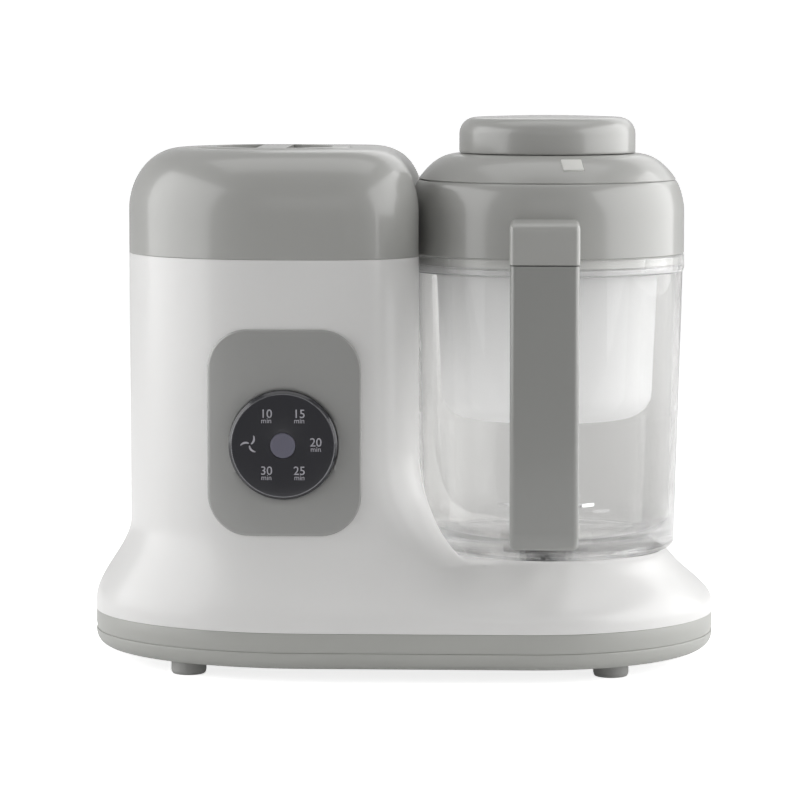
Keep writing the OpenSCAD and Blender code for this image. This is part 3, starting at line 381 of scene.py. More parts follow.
def clearPlastic(name, colour, roughness, footTop, rimLow):
    # clear copolyester; lamps shine through it, so that what stands inside is lit
    finish = Finish(name, colour, roughness, Transmission_Weight=1.0, IOR=1.33)
    finish.rough(finish.noise(30, 2), 0.01)
    finish.bump(finish.noise(90, 3, (1, 1, 0.03)), 0.0003, 0.3)
    path = finish.tree.nodes.new("ShaderNodeLightPath")
    through = (Link(finish.tree, path.outputs["Is Shadow Ray"])
               + Link(finish.tree, path.outputs["Is Diffuse Ray"]))
    height = finish.add("ShaderNodeSeparateXYZ", {}, {0: finish.place()}, "Z")
    foot = finish.add("ShaderNodeMapRange", {"interpolation_type": "SMOOTHSTEP"},
                      {"Value": height, "From Min": footTop + 0.008, "From Max": footTop - 0.002,
                       "To Min": 0.1, "To Max": 0.42})
    clear = finish.add("ShaderNodeBsdfTransparent", {}, {"Color": (0.98, 0.98, 0.98, 1)})
    rim = finish.add("ShaderNodeMapRange", {"interpolation_type": "SMOOTHSTEP"},
                     {"Value": height, "From Min": rimLow - 0.001, "From Max": rimLow + 0.001,
                      "To Min": 0.0, "To Max": 0.4})
    share = foot.math("MAXIMUM", through, foot.math("MAXIMUM", foot, rim))
    mixed = finish.add("ShaderNodeMixShader", {}, {0: share,
                                                   1: Link(finish.tree, finish.surface.outputs[0]), 2: clear})
    finish.tree.links.new(mixed.socket, finish.output.inputs["Surface"])
    return finish.material


def milkyPlastic(name, colour, share):
    # a translucent plastic: part of the light goes through and spreads
    finish = Finish(name, colour, 0.35)
    finish.mottle(finish.noise(14, 3), 0.01)
    finish.rough(finish.noise(45, 2), 0.03)
    glow = finish.add("ShaderNodeBsdfTranslucent", {}, {"Color": (*colour, 1)})
    mixed = finish.add("ShaderNodeMixShader", {}, {0: share,
                                                   1: Link(finish.tree, finish.surface.outputs[0]), 2: glow})
    path = finish.tree.nodes.new("ShaderNodeLightPath")
    clear = finish.add("ShaderNodeBsdfTransparent", {}, {})
    lit = finish.add("ShaderNodeMixShader", {}, {0: 0.85 * Link(finish.tree, path.outputs["Is Shadow Ray"]),
                                                 1: mixed, 2: clear})
    finish.tree.links.new(lit.socket, finish.output.inputs["Surface"])
    return finish.material


milkyBasket = milkyPlastic("milkyBasket", (0.95, 0.95, 0.95), 0.6)
jarSeen = dict(foot=40, rim=149.6)  # heights over the band between which the jar looks thickest
clearJar = clearPlastic("clearJar", (0.955, 0.955, 0.95), 0.03, (bandTop + jarSeen["foot"]) * toMetres,
                        (bandTop + jarSeen["rim"]) * toMetres)
print("materials made")

# the body's outer form, which the housing and the tower cap share
body = dict(wall=2.5, deckRise=27.6, deckHalf=56, flareOut=15.6, flareRise=40, rightFall=18.7,
            towerGap=54.5, towerD=132, towerEnd=66, towerCorner=50, towerRise=156.6, sweepR=48,
            baseLeftEnd=97, baseRightEnd=80, capH=45.4, shoulderR=27, shoulderRun=23, wellR=61, seatR=51.5,
            seatDepth=9.6, sweepRun=42, rimR=7.5, rimOut=3.2, deckEdgeR=5.0, footBlend=6.0, voxel=1.8,
            coarse=2.2, overlap=6, seatHole=8.6, seatT=2.5, nozzleR=4.6, nozzleDrop=34)
deckZ = bandTop + body["deckRise"]
seamZ = bandTop + body["towerRise"]
towerTop = seamZ + body["capH"]
seatZ = deckZ - body["seatDepth"]
leftX = -baseW / 2 + body["flareOut"]
rightX = jarX - body["towerGap"]
frontY = -body["towerD"] / 2


def ease(t):
    c = np.clip(t, 0, 1)
    return c * c * (3 - 2 * c)


def flare(z):
    return ease((bandTop + body["flareRise"] - z) / (body["flareRise"] - 4))


def rise(z):
    return ease((z - bandTop - 4) / (deckZ - bandTop - 4))


def sweep(z):
    r = body["sweepR"]
    lift = np.clip(deckZ - 1 + r - z, 0, r)
    return r - np.sqrt(r * r - lift * lift)


def skinHalf(x, z):
    tower = (body["towerD"] + (baseD - body["towerD"]) * flare(z)) / 2
    jar = baseD / 2 - (baseD / 2 - body["deckHalf"]) * rise(z)
    return tower + (jar - tower) * ease((x - rightX) / body["sweepRun"])


def leftEdge(z):
    return leftX - body["flareOut"] * flare(z)


def leftEnd(z):
    return body["towerEnd"] + (body["baseLeftEnd"] - body["towerEnd"]) * flare(z)


def ends(z, up):
    # the right side and the length of its rounded end
    if up:
        right = rightX + body["rimOut"] + sweep(z)
        return right, np.minimum(body["towerCorner"], right - leftEdge(z) - leftEnd(z) - 2)
    right = baseW / 2 - body["rightFall"] * rise(z)
    return right, right - jarX + (body["baseRightEnd"] - baseW / 2 + jarX) * (1 - rise(z))


def outline(z, up, around=160, inset=0.0, level=None):
    right, run = ends(z, up)
    power = 2 / 3 if up else 1
    left = leftEdge(z)
    cl, cr = left + leftEnd(z), right - run
    quarter = around // 4
    ring = []
    for i in range(quarter + 1):
        a = math.radians(-90 + 180 * i / quarter)
        x = cr + (run - inset) * max(0, math.cos(a)) ** power
        ring.append((x, math.copysign(abs(math.sin(a)) ** power, math.sin(a)) * (skinHalf(x, z) - inset)))
    for i in range(1, quarter):
        x = cr + (cl - cr) * i / quarter
        ring.append((x, skinHalf(x, z) - inset))
    for i in range(quarter + 1):
        a = math.radians(90 + 180 * i / quarter)
        x = cl + (leftEnd(z) - inset) * math.cos(a)
        ring.append((x, math.sin(a) * (skinHalf(x, z) - inset)))
    for i in range(1, quarter):
        x = cl + (cr - cl) * i / quarter
        ring.append((x, inset - skinHalf(x, z)))
    return [(float(x), float(y), float(z if level is None else level)) for x, y in ring]


def flatDistance(p, up):
    # how far points stand outside the outline at their height, in mm
    def wide(x, y, z):
        right, run = ends(z, up)
        left = leftEdge(z)
        power = 3 if up else 2
        low = np.maximum(left + leftEnd(z) - x, 0) / leftEnd(z)
        high = np.maximum(x - right + run, 0) / np.maximum(run, 1)
        side = np.abs(y) / skinHalf(x, z)
        return np.where(low > 0, np.sqrt(low ** 2 + side ** 2),
                        (high ** power + side ** power) ** (1 / power)) - 1
    x, y, z = p.T
    step = 0.2
    value = wide(x, y, z)
    slope = np.stack([wide(x + step, y, z) - value, wide(x, y + step, z) - value,
                      wide(x, y, z + step) - value]) / step
    return value / np.maximum(np.sqrt((slope ** 2).sum(0)), 1e-4)


def roundMax(a, b, r):
    return np.minimum(-r, np.maximum(a, b)) + np.hypot(np.maximum(a + r, 0), np.maximum(b + r, 0))


def roundMin(a, b, r):
    return np.maximum(r, np.minimum(a, b)) - np.hypot(np.maximum(r - a, 0), np.maximum(r - b, 0))


def bodyForm(p):
    x, y, z = p.T
    capped = np.array(p)
    capped[:, 2] = np.minimum(z, seamZ)
    steep = body["shoulderR"] / body["shoulderRun"]
    tower = roundMax(flatDistance(capped, True) * steep, z - towerTop, body["shoulderR"])
    well = body["wellR"] - np.hypot(x - jarX, y)
    tower = roundMax(tower, well, body["rimR"])
    base = roundMax(flatDistance(p, False), z - deckZ, body["deckEdgeR"])
    blend = 0.01 + body["footBlend"] * ease((x - rightX - 12) / 24)
    return roundMin(base, tower, blend)


def settle(points, rounds=8):
    # moves points onto the body's form along its slope
    step = 0.15
    axes = np.eye(3) * step
    for _ in range(rounds):
        value = bodyForm(points)
        slope = np.stack([(bodyForm(points + axis) - bodyForm(points - axis)) / (2 * step)
                          for axis in axes], 1)
        scale = np.maximum((slope ** 2).sum(1), 0.05)
        shift = slope * np.clip(value / scale, -3, 3)[:, None]
        points = points - shift
    return points


def coreBlock():
    # the plain solid that the skin is drawn over: base, tower and shoulder, less the jar's well
    down = body["overlap"]
    lowRises = [0, 6, 10, 14, 18, 22, 25, body["deckRise"]]
    base = ringed("core", [outline(bandTop, False, level=bandTop - down)]
                  + [outline(bandTop + r, False) for r in lowRises])
    highRises = [body["deckRise"] + r for r in (-down, 2, 6, 12, 20, 30, 42)]
    r = body["shoulderR"]
    shoulder = [(r * (1 - math.cos(a)), r * math.sin(a)) for a in np.radians([0, 20, 40, 60, 80])]
    tower = ringed("coreTower", [outline(bandTop + h, True) for h in highRises] + [outline(seamZ, True)]
                   + [outline(seamZ, True, inset=i, level=towerTop - r + h) for i, h in shoulder])
    core = joined("core", [base, tower])
    applyModifier(core, "REMESH", mode="VOXEL", voxel_size=body["coarse"])
    cutAway(core, rod(body["wellR"], 300, (jarX, 0, deckZ + 150)))
    applyModifier(core, "REMESH", mode="VOXEL", voxel_size=body["voxel"])
    placeVerts(core, settle(vertPlaces(core), 2))
    applyModifier(core, "SMOOTH", factor=0.5, iterations=4)
    points = vertPlaces(core)
    low = points[:, 2] < bandTop - 1
    moved = settle(points)
    moved[low] = points[low]
    placeVerts(core, moved)
    return core


def keepBetween(piece, low, high):
    # keeps the part of a piece between two heights, open at the cuts
    for height, outer, inner in ((low, False, True), (high, True, False)):
        if height is None:
            continue
        editAll(piece)
        bpy.ops.mesh.bisect(plane_co=(0, 0, height), plane_no=(0, 0, 1), clear_inner=inner, clear_outer=outer)
        bpy.ops.object.mode_set(mode="OBJECT")


def copied(piece, name):
    twin = piece.copy()
    twin.data = piece.data.copy()
    twin.name = name
    bpy.context.scene.collection.objects.link(twin)
    return twin


core = coreBlock()
print("body form drawn")
seamGap = 0.07

housing = copied(core, "housingShell")
cutAway(housing, rod(body["seatR"], 40, (jarX, 0, seatZ + 20), sides=160))
keepBetween(housing, bandTop, seamZ - seamGap)
pick(housing)
for face in housing.data.polygons:
    face.select = abs(face.center.z - seatZ) < 0.1 and face.normal.z > 0.9
bpy.ops.object.mode_set(mode="EDIT")
bpy.ops.mesh.delete(type="FACE")
bpy.ops.object.mode_set(mode="OBJECT")
applyModifier(housing, "SOLIDIFY", thickness=body["wall"], offset=-1, use_rim=True)
finished(housing, "housing", whitePlastic, ["main_housing"])

seat = turned("jarSeat", softened([
    (body["seatHole"], seatZ - body["seatT"]), (body["seatHole"], seatZ, 0.4),
    (body["seatR"] - 0.05, seatZ, 1.2),
    (body["seatR"] - 0.05, seatZ - body["seatT"])]), jarX)
finished(seat, "housing", whitePlastic)

cap = core
cap.name = "towerCap"
keepBetween(cap, seamZ + seamGap, None)
applyModifier(cap, "SOLIDIFY", thickness=body["wall"], offset=-1, use_rim=True)
tankLid = dict(radius=33, gap=0.6, drop=5.3, hollowR=25.3, barW=13, depth=8.5, proud=0.4, skirtR=26.3)
neckTop = towerTop - tankLid["drop"]
cutAway(cap, rod(tankLid["radius"] + tankLid["gap"], 30, (tankX, 0, towerTop)))
nozzleZ = towerTop - body["nozzleDrop"]
cutAway(cap, rod(body["nozzleR"], 8, (jarX - body["wellR"] - 1, 0, nozzleZ), (0, math.pi / 2, 0)))
softenEdges(cap, 0.45, 50, 2)
finished(cap, "housing", greyPlastic, ["tower_cap"])
print("housing and cap done")


def bandRing(inset, z):
    # the base's outline at height z, drawn in by inset, for the band and the bottom cover
    return outline(bandTop, False, 240, inset, z)


band = dict(edge=0.45, wall=2.5, gap=0.12)
lowZ, highZ = coverTop + band["gap"], bandTop - band["gap"] / 2
baseBand = ringed("baseBand", [
    bandRing(band["edge"], lowZ), bandRing(band["edge"] * 0.9, lowZ + band["edge"]),
    bandRing(0.02, lowZ + band["edge"] * 6), bandRing(0.02, highZ - band["edge"]),
    bandRing(band["edge"] * 0.3, highZ - band["edge"] * 0.3), bandRing(band["edge"], highZ),
    bandRing(band["wall"], highZ), bandRing(band["wall"], lowZ)], closed=True)
finished(baseBand, "housing", greySatin, ["base_band"])

cover = dict(height=7.5, edge=6.6, floor=2.5, wall=4.15, slots=7, slotW=3, slotL=40, pitch=7)
coverLow = coverTop - cover["height"]
edgeRings = []
for k in range(9):
    a = math.radians(90 * k / 8)
    edgeRings.append(bandRing(cover["edge"] * (1 - math.sin(a)),
                              coverLow + (cover["height"] - 0.8) * (1 - math.cos(a))))
edgeRings += [bandRing(0.02, coverTop - 0.35), bandRing(0.1, coverTop - 0.08), bandRing(0.35, coverTop)]
bottomCover = ringed("bottomCover", edgeRings + [
    bandRing(cover["wall"], coverTop), bandRing(cover["wall"], coverLow + cover["floor"] + 1),
    bandRing(cover["wall"] + 1, coverLow + cover["floor"])])
for i in range(cover["slots"]):
    x = -45 + (i - (cover["slots"] - 1) / 2) * cover["pitch"]
    cutAway(bottomCover, block((cover["slotW"], cover["slotL"], 9), (x, 0, coverLow)))
softenEdges(bottomCover, 0.3, 60, 2)
finished(bottomCover, "housing", greySatin, ["bottom_cover"])

foot = dict(radius=7.6, height=6, dx=181, dy=96)
feet = []
for sx in (-1, 1):
    for sy in (-1, 1):
        one = turned("foot", softened([
            (0, 0), (foot["radius"] - 0.6, 0, 0.8), (foot["radius"], 1.6, 1.5),
            (foot["radius"] - 0.2, foot["height"] + 1),
            (0, foot["height"] + 1)]), 0, 48)
        one.data.transform(Matrix.Translation((sx * foot["dx"] / 2, sy * foot["dy"] / 2, 0)))
        feet.append(one)
finished(joined("rubberFeet", feet), "housing", footRubber, ["feet"])
print("base done")

# tank lid with its finger bar
top = towerTop + tankLid["proud"]
lidPiece = turned("tankLid", softened([
    (0, neckTop - 4), (tankLid["skirtR"] - 2.2, neckTop - 4), (tankLid["skirtR"] - 2.2, neckTop - 10),
    (tankLid["skirtR"], neckTop - 10, 0.6), (tankLid["skirtR"], neckTop + 0.1),
    (tankLid["radius"], neckTop + 0.1),
    (tankLid["radius"], top, 1.0), (0, top)]), tankX)
for side in (-1, 1):
    hollow = rod(tankLid["hollowR"], tankLid["depth"] + 6,
                 (tankX, 0, top - tankLid["depth"] + (tankLid["depth"] + 6) / 2))
    cutAway(hollow, block((80, 80, 60), (tankX + side * (tankLid["barW"] / 2 + 40), 0, top)), "INTERSECT")
    softenEdges(hollow, 1.6, 50, 4)
    cutAway(lidPiece, hollow)
softenEdges(lidPiece, 0.7, 50, 3)
finished(lidPiece, "tank_lid", greyPlastic, ["tank_lid"])
print("tank lid done")

# control plate, and the disc with ring, button and print
plate = dict(w=65.6, h=87.5, corner=17.5, proud=1.2, rise=83.6, discR=23.0, dropped=4.3, edge=0.9)
plateZ = bandTop + plate["rise"]
labelZ = plateZ - plate["dropped"]
discZ = labelZ - 0.5


def frontFace(x, z, out):
    # y of the tower's front skin at x and z, moved out by out
    x, z = float(x), float(z)
    low = max(0.0, leftEdge(z) + leftEnd(z) - x) / leftEnd(z)
    return -float(skinHalf(x, z)) * math.sqrt(1 - low * low) - out


def plateOutline(inset, around=160):
    # a rounded rectangle, walked at even angles round the disc's centre
    w, h, r = plate["w"] / 2 - inset, plate["h"] / 2 - inset, max(plate["corner"] - inset, 1)
    ring = []
    for i in range(around):
        a = math.tau * i / around
        dx, dz = math.cos(a), math.sin(a)
        near, far = 0.0, 90.0
        for _ in range(30):
            mid = (near + far) / 2
            x, z = abs(dx * mid), abs(dz * mid + discZ - plateZ)
            qx, qz = max(x - (w - r), 0), max(z - (h - r), 0)
            inside = x <= w and z <= h and math.hypot(qx, qz) <= r
            near, far = (mid, far) if inside else (near, mid)
        ring.append((plateX + dx * near, discZ + dz * near))
    return ring


def plateRing(inset, out, share=0.0):
    # share pulls the ring from the plate's edge towards the disc's opening
    hole = plate["discR"] + 0.15
    ring = []
    for i, (x, z) in enumerate(plateOutline(inset)):
        a = math.tau * i / 160
        hx, hz = plateX + hole * math.cos(a), discZ + hole * math.sin(a)
        px, pz = x + (hx - x) * share, z + (hz - z) * share
        ring.append((px, frontFace(px, pz, out), pz))
    return ring


edge, proud = plate["edge"], plate["proud"]
plateRings = [plateRing(0, -0.4), plateRing(0, proud - edge)]
plateRings += [plateRing(edge * (1 - math.cos(a)), proud - edge + edge * math.sin(a))
               for a in np.radians([25, 50, 75, 90])]
plateRings += [plateRing(edge + 0.5, proud, share) for share in (0, 0.2, 0.4, 0.6, 0.8, 0.97)]
plateRings += [plateRing(edge + 0.5, proud - 0.25, 1.0), plateRing(edge + 0.5, -0.4, 1.0)]
controlPlate = ringed("controlPlate", plateRings, closed=True)
finished(controlPlate, "housing", plateGrey, ["control_plate"])

disc = dict(proud=3.8, bevel=1.2, buttonR=5.3, buttonOut=0.3, labelR=13.9, digitH=3.6, wordH=2.35, windowR=21)
discFront = proud + disc["proud"]


def faceTurned(name, profile, steps=96):
    # a lathe piece whose axis runs out of the front face through the disc's centre
    piece = turned(name, profile, 0, steps)
    piece.data.transform(Matrix.Translation((plateX, frontY, discZ)) @ Matrix.Rotation(math.pi / 2, 4, "X"))
    return piece


glassDisc = faceTurned("controlDisc", softened([
    (disc["buttonR"] + 0.15, -1), (disc["windowR"] - 2, -1), (disc["windowR"] - 2, -6.5),
    (disc["windowR"] - 0.1, -6.5),
    (disc["windowR"] - 0.1, 0), (plate["discR"], 0), (plate["discR"], discFront - disc["bevel"], 0.3),
    (plate["discR"] - disc["bevel"], discFront, 0.8), (disc["buttonR"] + 0.15, discFront, 0.25)]), 160)
finished(glassDisc, "housing", pianoBlack, ["control_disc"])
lineR = plate["discR"] - disc["bevel"] - 0.1
trim = faceTurned("discRing", softened([
    (lineR - 0.2, discFront - 0.6), (lineR + 0.25, discFront - 0.6), (lineR + 0.25, discFront - 0.1, 0.12),
    (lineR - 0.2, discFront + 0.08, 0.12)]), 160)
finished(trim, "housing", brightTrim, ["disc_ring"])
button = faceTurned("powerButton", softened([
    (0, -0.1), (disc["buttonR"] + 1, -0.1), (disc["buttonR"] + 1, discFront - 2.5),
    (disc["buttonR"], discFront - 2.5),
    (disc["buttonR"], discFront + disc["buttonOut"], 0.45), (2, discFront + disc["buttonOut"] - 0.15),
    (0, discFront + disc["buttonOut"] - 0.2)]), 96)
finished(button, "power_button", buttonLilac, ["power_button"])


def printed(name, words, size, x, z):
    # flat lettering in generic type, printed on the disc's face
    deselect()
    bpy.ops.object.text_add(location=(0, 0, 0))
    label = bpy.context.object
    label.data.body = words
    label.data.size = size
    label.data.align_x = "CENTER"
    label.data.align_y = "CENTER"
    label.data.extrude = 0.02
    label.data.offset = size * 0.003
    bpy.ops.object.convert(target="MESH")
    label = bpy.context.object
    label.name = name
    label.data.transform(Matrix.Translation((x, frontY - discFront - 0.02, z))
                         @ Matrix.Rotation(math.pi / 2, 4, "X"))
    return label


labels = []
for angle, minutes in ((120, "10"), (60, "15"), (0, "20"), (-60, "25"), (-120, "30")):
    x = plateX + disc["labelR"] * math.cos(math.radians(angle))
    z = labelZ + disc["labelR"] * math.sin(math.radians(angle))
    labels.append(printed("minutes" + minutes, minutes, disc["digitH"] * 1.42, x, z + 0.75))
    labels.append(printed("unit" + minutes, "min", disc["wordH"] * 1.3, x, z - 2.1))
vanes = []
for k in range(3):
    # a rotor of three swept vanes stands for the blender's own setting
    vane = [(math.cos(math.radians(t * 62)) * (0.6 + 3.4 * t),
             math.sin(math.radians(t * 62)) * (0.6 + 3.4 * t)) for t in np.linspace(0, 1, 9)]
    back = [(math.cos(math.radians(40 + t * 30)) * (0.6 + 3.4 * t),
             math.sin(math.radians(40 + t * 30)) * (0.6 + 3.4 * t)) for t in np.linspace(1, 0, 9)]
    turn = Matrix.Rotation(math.radians(120 * k), 3, "Z")
    ring = [turn @ Vector((a, b, 0)) for a, b in vane + back]
    face = ringed("vane", [[(v.x, v.y, 0) for v in ring], [(v.x, v.y, 0.04) for v in ring]])
    face.data.transform(Matrix.Translation((plateX - disc["labelR"], frontY - discFront, labelZ))
                        @ Matrix.Rotation(math.pi / 2, 4, "X"))
    vanes.append(face)
finished(joined("discPrint", labels + vanes), "housing", printInk)
print("controls done")

# jar with its handle, and the basket that hangs in it
jar = dict(rimR=59.7, topR=59.1, footR=56.1, wall=3.0, height=138, rimH=6.5, rimT=2.3, skirtR=50.5, fillet=10,
           floorUp=6, floorT=3.1, hole=8.55)
jarZ = seatZ + 0.1
jarTop = jarZ + jar["height"]
rimZ = jarTop - jar["rimH"]
jarFoot = deckZ + 0.7
jarFloor = deckZ + jar["floorUp"]
rimIn = jar["rimR"] - jar["rimT"]


def jarOut(z):
    return jar["footR"] + (jar["topR"] - jar["footR"]) * (z - jarFoot) / (rimZ - jarFoot)


jarShell = turned("jarShell", softened([
    (jar["hole"], jarFloor - jar["floorT"]), (jar["skirtR"] - jar["wall"], jarFloor - jar["floorT"], 1.2),
    (jar["skirtR"] - jar["wall"], jarZ, 1.0), (jar["skirtR"], jarZ, 1.0), (jar["skirtR"], jarFoot, 1.2),
    (jar["footR"], jarFoot, 3.2), (jarOut(rimZ - 1), rimZ - 1, 0.6), (jar["rimR"], rimZ + 0.2, 0.5),
    (jar["rimR"], jarTop, 0.7),
    (rimIn, jarTop, 0.5), (rimIn, rimZ, 0.2), (jarOut(rimZ) - jar["wall"], rimZ, 0.4),
    (jarOut(jarFloor) - jar["wall"], jarFloor, jar["fillet"]), (jar["hole"], jarFloor)], 8), jarX, 160)
grip = dict(w=28.7, turned=-0.8, reach=95, t=11, edge=2.7, footEdge=8, tabH=17.2, seam=0.15, wider=0.4,
            armH=13, rise=9.6,
            lugW=10, lugT=7, ribW=3.2, ribT=2.4, ribH=8, clear=0.12)
armH = grip["armH"]
handleZ = deckZ + grip["rise"]
handleTop = jarTop - grip["seam"]
for z in (handleZ + 1, rimZ - armH + 1):
    lug = block((grip["lugW"], grip["lugT"], armH - 3),
                (jarX + grip["turned"], -jarOut(z) - 2, z + (armH - 3) / 2))
    softenEdges(lug, 1.2, 40, 3)
    cutAway(jarShell, lug, "UNION")
rib = block((grip["ribW"], grip["ribT"], grip["ribH"]), (jarX - 1, -jar["footR"] + 1.6, jarFoot + 4.2))
softenEdges(rib, 0.8, 40, 3)
cutAway(jarShell, rib, "UNION")
finished(jarShell, "jar", clearJar, ["jar"])


def sideBar(name, side, w, edge, flatZ):
    # an extruded side view, given as (reach, height), w wide; its two outlines are rounded, but not at flatZ
    middle = jarX + grip["turned"]
    piece = ringed(name, [[(middle + x, -reach, z) for reach, z in side] for x in (-w / 2, w / 2)])
    pick(piece)
    bpy.ops.object.mode_set(mode="EDIT")
    bpy.ops.mesh.select_mode(type="EDGE")
    bpy.ops.mesh.select_all(action="DESELECT")
    bpy.ops.object.mode_set(mode="OBJECT")
    points = piece.data.vertices
    for line in piece.data.edges:
        a, b = (points[i].co for i in line.vertices)
        line.select = abs(a.x - b.x) < 0.01 and max(abs(a.z - flatZ), abs(b.z - flatZ)) > 0.01
    bpy.ops.object.mode_set(mode="EDIT")
    bpy.ops.mesh.bevel(offset=edge, segments=6, affect="EDGES", clamp_overlap=False)
    bpy.ops.mesh.select_mode(type="VERT")
    bpy.ops.object.mode_set(mode="OBJECT")
    return piece


armEnd = jar["footR"] - 6
handleSide = softened([
    (grip["reach"], handleZ, grip["footEdge"]), (grip["reach"], handleTop), (armEnd, handleTop),
    (armEnd, jarTop - armH),
    (grip["reach"] - grip["t"], jarTop - armH, 6), (grip["reach"] - grip["t"], handleZ + armH, 6),
    (armEnd, handleZ + armH), (armEnd, handleZ)], 6)
handle = sideBar("jarHandle", handleSide, grip["w"], grip["edge"], handleTop)
cutAway(handle, turned("jarClear", [
    (0, 30), (jarOut(30) + grip["clear"], 30), (jarOut(rimZ) + grip["clear"], rimZ),
    (jar["rimR"] + grip["clear"], rimZ),
    (jar["rimR"] + grip["clear"], 200), (0, 200)], jarX))
finished(handle, "jar", handleGrey, ["jar_handle"])

basket = dict(topR=48.1, footR=45, depth=65, wall=2, edge=11, slots=16, flange=1.8,
              slotW=2.4, outerL=13, outerR=26.5, innerL=9, innerR=11.5)
basketTop = rimZ + 0.05
basketZ = basketTop - basket["depth"]
wallOut = basket["footR"] + (basket["topR"] - basket["footR"]) * basket["edge"] / basket["depth"]
steamBasket = turned("steamBasket", softened([
    (0, basketZ), (wallOut, basketZ, basket["edge"]), (basket["topR"], basketTop - 2),
    (basket["topR"] + 0.6, basketTop, 0.6),
    (rimIn - 0.2, basketTop), (rimIn - 0.2, basketTop + basket["flange"], 0.6),
    (basket["topR"] - basket["wall"], basketTop + basket["flange"], 1.0),
    (wallOut - basket["wall"], basketZ + basket["wall"], basket["edge"] - basket["wall"]),
    (0, basketZ + basket["wall"])], 8), jarX, 144)
for i in range(basket["slots"]):
    a = math.tau * i / basket["slots"]
    r = basket["outerR"]
    cutAway(steamBasket, block((basket["outerL"], basket["slotW"], 8),
                               (jarX + r * math.cos(a), r * math.sin(a), basketZ + 1), (0, 0, a)))
for i in range(basket["slots"] // 2):
    a = math.tau * 2 * i / basket["slots"] + math.radians(11)
    r = basket["innerR"]
    cutAway(steamBasket, block((basket["innerL"], basket["slotW"], 8),
                               (jarX + r * math.cos(a), r * math.sin(a), basketZ + 1), (0, 0, a)))
finished(steamBasket, "basket", milkyBasket, ["steam_basket"])
print("jar done")

# blade with its hub and cap nut
blade = dict(long=21, short=15, shortStart=6, lift=28, t=1.5, rise=11, shaftR=3, hubR=8.45, plateR=6.5)
bladeZ = jarFloor + blade["rise"]
hub = turned("bladeHub", softened([
    (blade["shaftR"] + 0.05, jarFloor - 7), (blade["hubR"], jarFloor - 7), (blade["hubR"], jarFloor + 0.02),
    (15, jarFloor + 0.02),
    (15, jarFloor + 2.4, 1.0), (11, jarFloor + 3, 1.5), (7.5, bladeZ - 3.2, 0.8),
    (blade["shaftR"] + 0.05, bladeZ - 3.2)]), jarX, 96)
finished(hub, "jar", palePlastic, ["blade_hub"])
arms = []
level = (0, 0, blade["long"])
raised = (blade["lift"], blade["shortStart"], blade["short"])
for turn, (lift, start, reach) in ((0, level), (180, level), (90, raised), (270, raised)):
    shape = [(0, -4), (reach - 5, -4.5), (reach, 0.5), (reach - 3, 2.5), (0, 4)]
    sharp = [(x, y * 0.86 if x < reach - 1 else y) for x, y in shape]
    arm = ringed("arm", [[(x, y, 0) for x, y in shape], [(x, y, blade["t"] * 0.6) for x, y in shape],
                         [(x, y, blade["t"]) for x, y in sharp]])
    arm.data.transform(Matrix.Translation((jarX, 0, bladeZ)) @ Matrix.Rotation(math.radians(turn), 4, "Z")
                       @ Matrix.Translation((start, 0, 0)) @ Matrix.Rotation(math.radians(-lift), 4, "Y"))
    arms.append(arm)
bladePiece = arms[0]
plateDisc = rod(blade["plateR"], blade["t"], (jarX, 0, bladeZ + blade["t"] / 2))
for other in arms[1:] + [plateDisc]:
    cutAway(bladePiece, other, "UNION")
softenEdges(bladePiece, 0.2, 50, 1)
bladePiece.name = "bladeArms"
finished(bladePiece, "blade", bladeSteel, ["blade"])
nut = turned("capNut", softened([
    (0, bladeZ + 1.6), (5.5, bladeZ + 1.6), (5.5, bladeZ + 5.4, 0.6), (4.4, bladeZ + 6, 0.4),
    (2.6, bladeZ + 8.4, 1.2), (0, bladeZ + 8.4)]), jarX, 6)
softenEdges(nut, 0.35, 50, 2)
finished(nut, "blade", bladeSteel, ["cap_nut"])
print("blade done")

# lid ring, dome, vent and feed cap
lid = dict(ringH=31.8, upright=17.3, domeR=56.2, domeH=11.4, topR=38, wall=2.6, power=2.3, feedR=30.5,
           capR=38.3, capH=16, capEdge=10.5,
           inletR=3.5, plugGap=2.4, plugT=2.4, plugUp=2.7, tabEdge=2.4, tabCorner=3.6, tabDown=4)
lidZ = jarTop + 0.3
domeZ = lidZ + lid["ringH"]
domeTop = domeZ + lid["domeH"]


def ringOut(t):
    return (lid["domeR"] + (jar["rimR"] - lid["domeR"]) * (1 - t * t),
            lidZ + lid["upright"] + (lid["ringH"] - lid["upright"]) * t)


rises = np.linspace(0, 1, 9)
plugR = rimIn - lid["plugGap"]
plugZ = rimZ + lid["plugUp"]
ringProfile = [(plugR, lidZ), (jar["rimR"] - 0.4, lidZ), (jar["rimR"], lidZ + 0.4)]
ringProfile += [ringOut(t) for t in rises[:-1]] + [(ringOut(1)[0], ringOut(1)[1] - 0.6),
                                                   (ringOut(1)[0] - 0.5, ringOut(1)[1] - 0.1)]
ringProfile += [(r - lid["wall"], z) for r, z in (ringOut(t) for t in rises[::-1])]
plugIn = plugR - lid["plugT"]
ringProfile += [(jar["rimR"] - lid["wall"], lidZ + lid["wall"]), (plugIn, lidZ + lid["wall"]),
                (plugIn, plugZ), (plugR, plugZ)]
lidRing = turned("lidRing", ringProfile, jarX, 160)
tabSide = softened([
    (grip["reach"], lidZ - lid["tabDown"]), (grip["reach"], lidZ + grip["tabH"], lid["tabCorner"]),
    (jar["rimR"] - 3, lidZ + grip["tabH"]), (jar["rimR"] - 3, lidZ - lid["tabDown"])], 5)
tab = sideBar("tab", tabSide, grip["w"] + grip["wider"], lid["tabEdge"], lidZ - lid["tabDown"])
tidyMesh(tab)
cutAway(tab, block((60, 120, 20), (jarX, -60, lidZ - 10 + 0.01)))
cutAway(tab, rod(jar["rimR"] - 1.2, 60, (jarX, 0, lidZ)))
cutAway(lidRing, tab, "UNION")
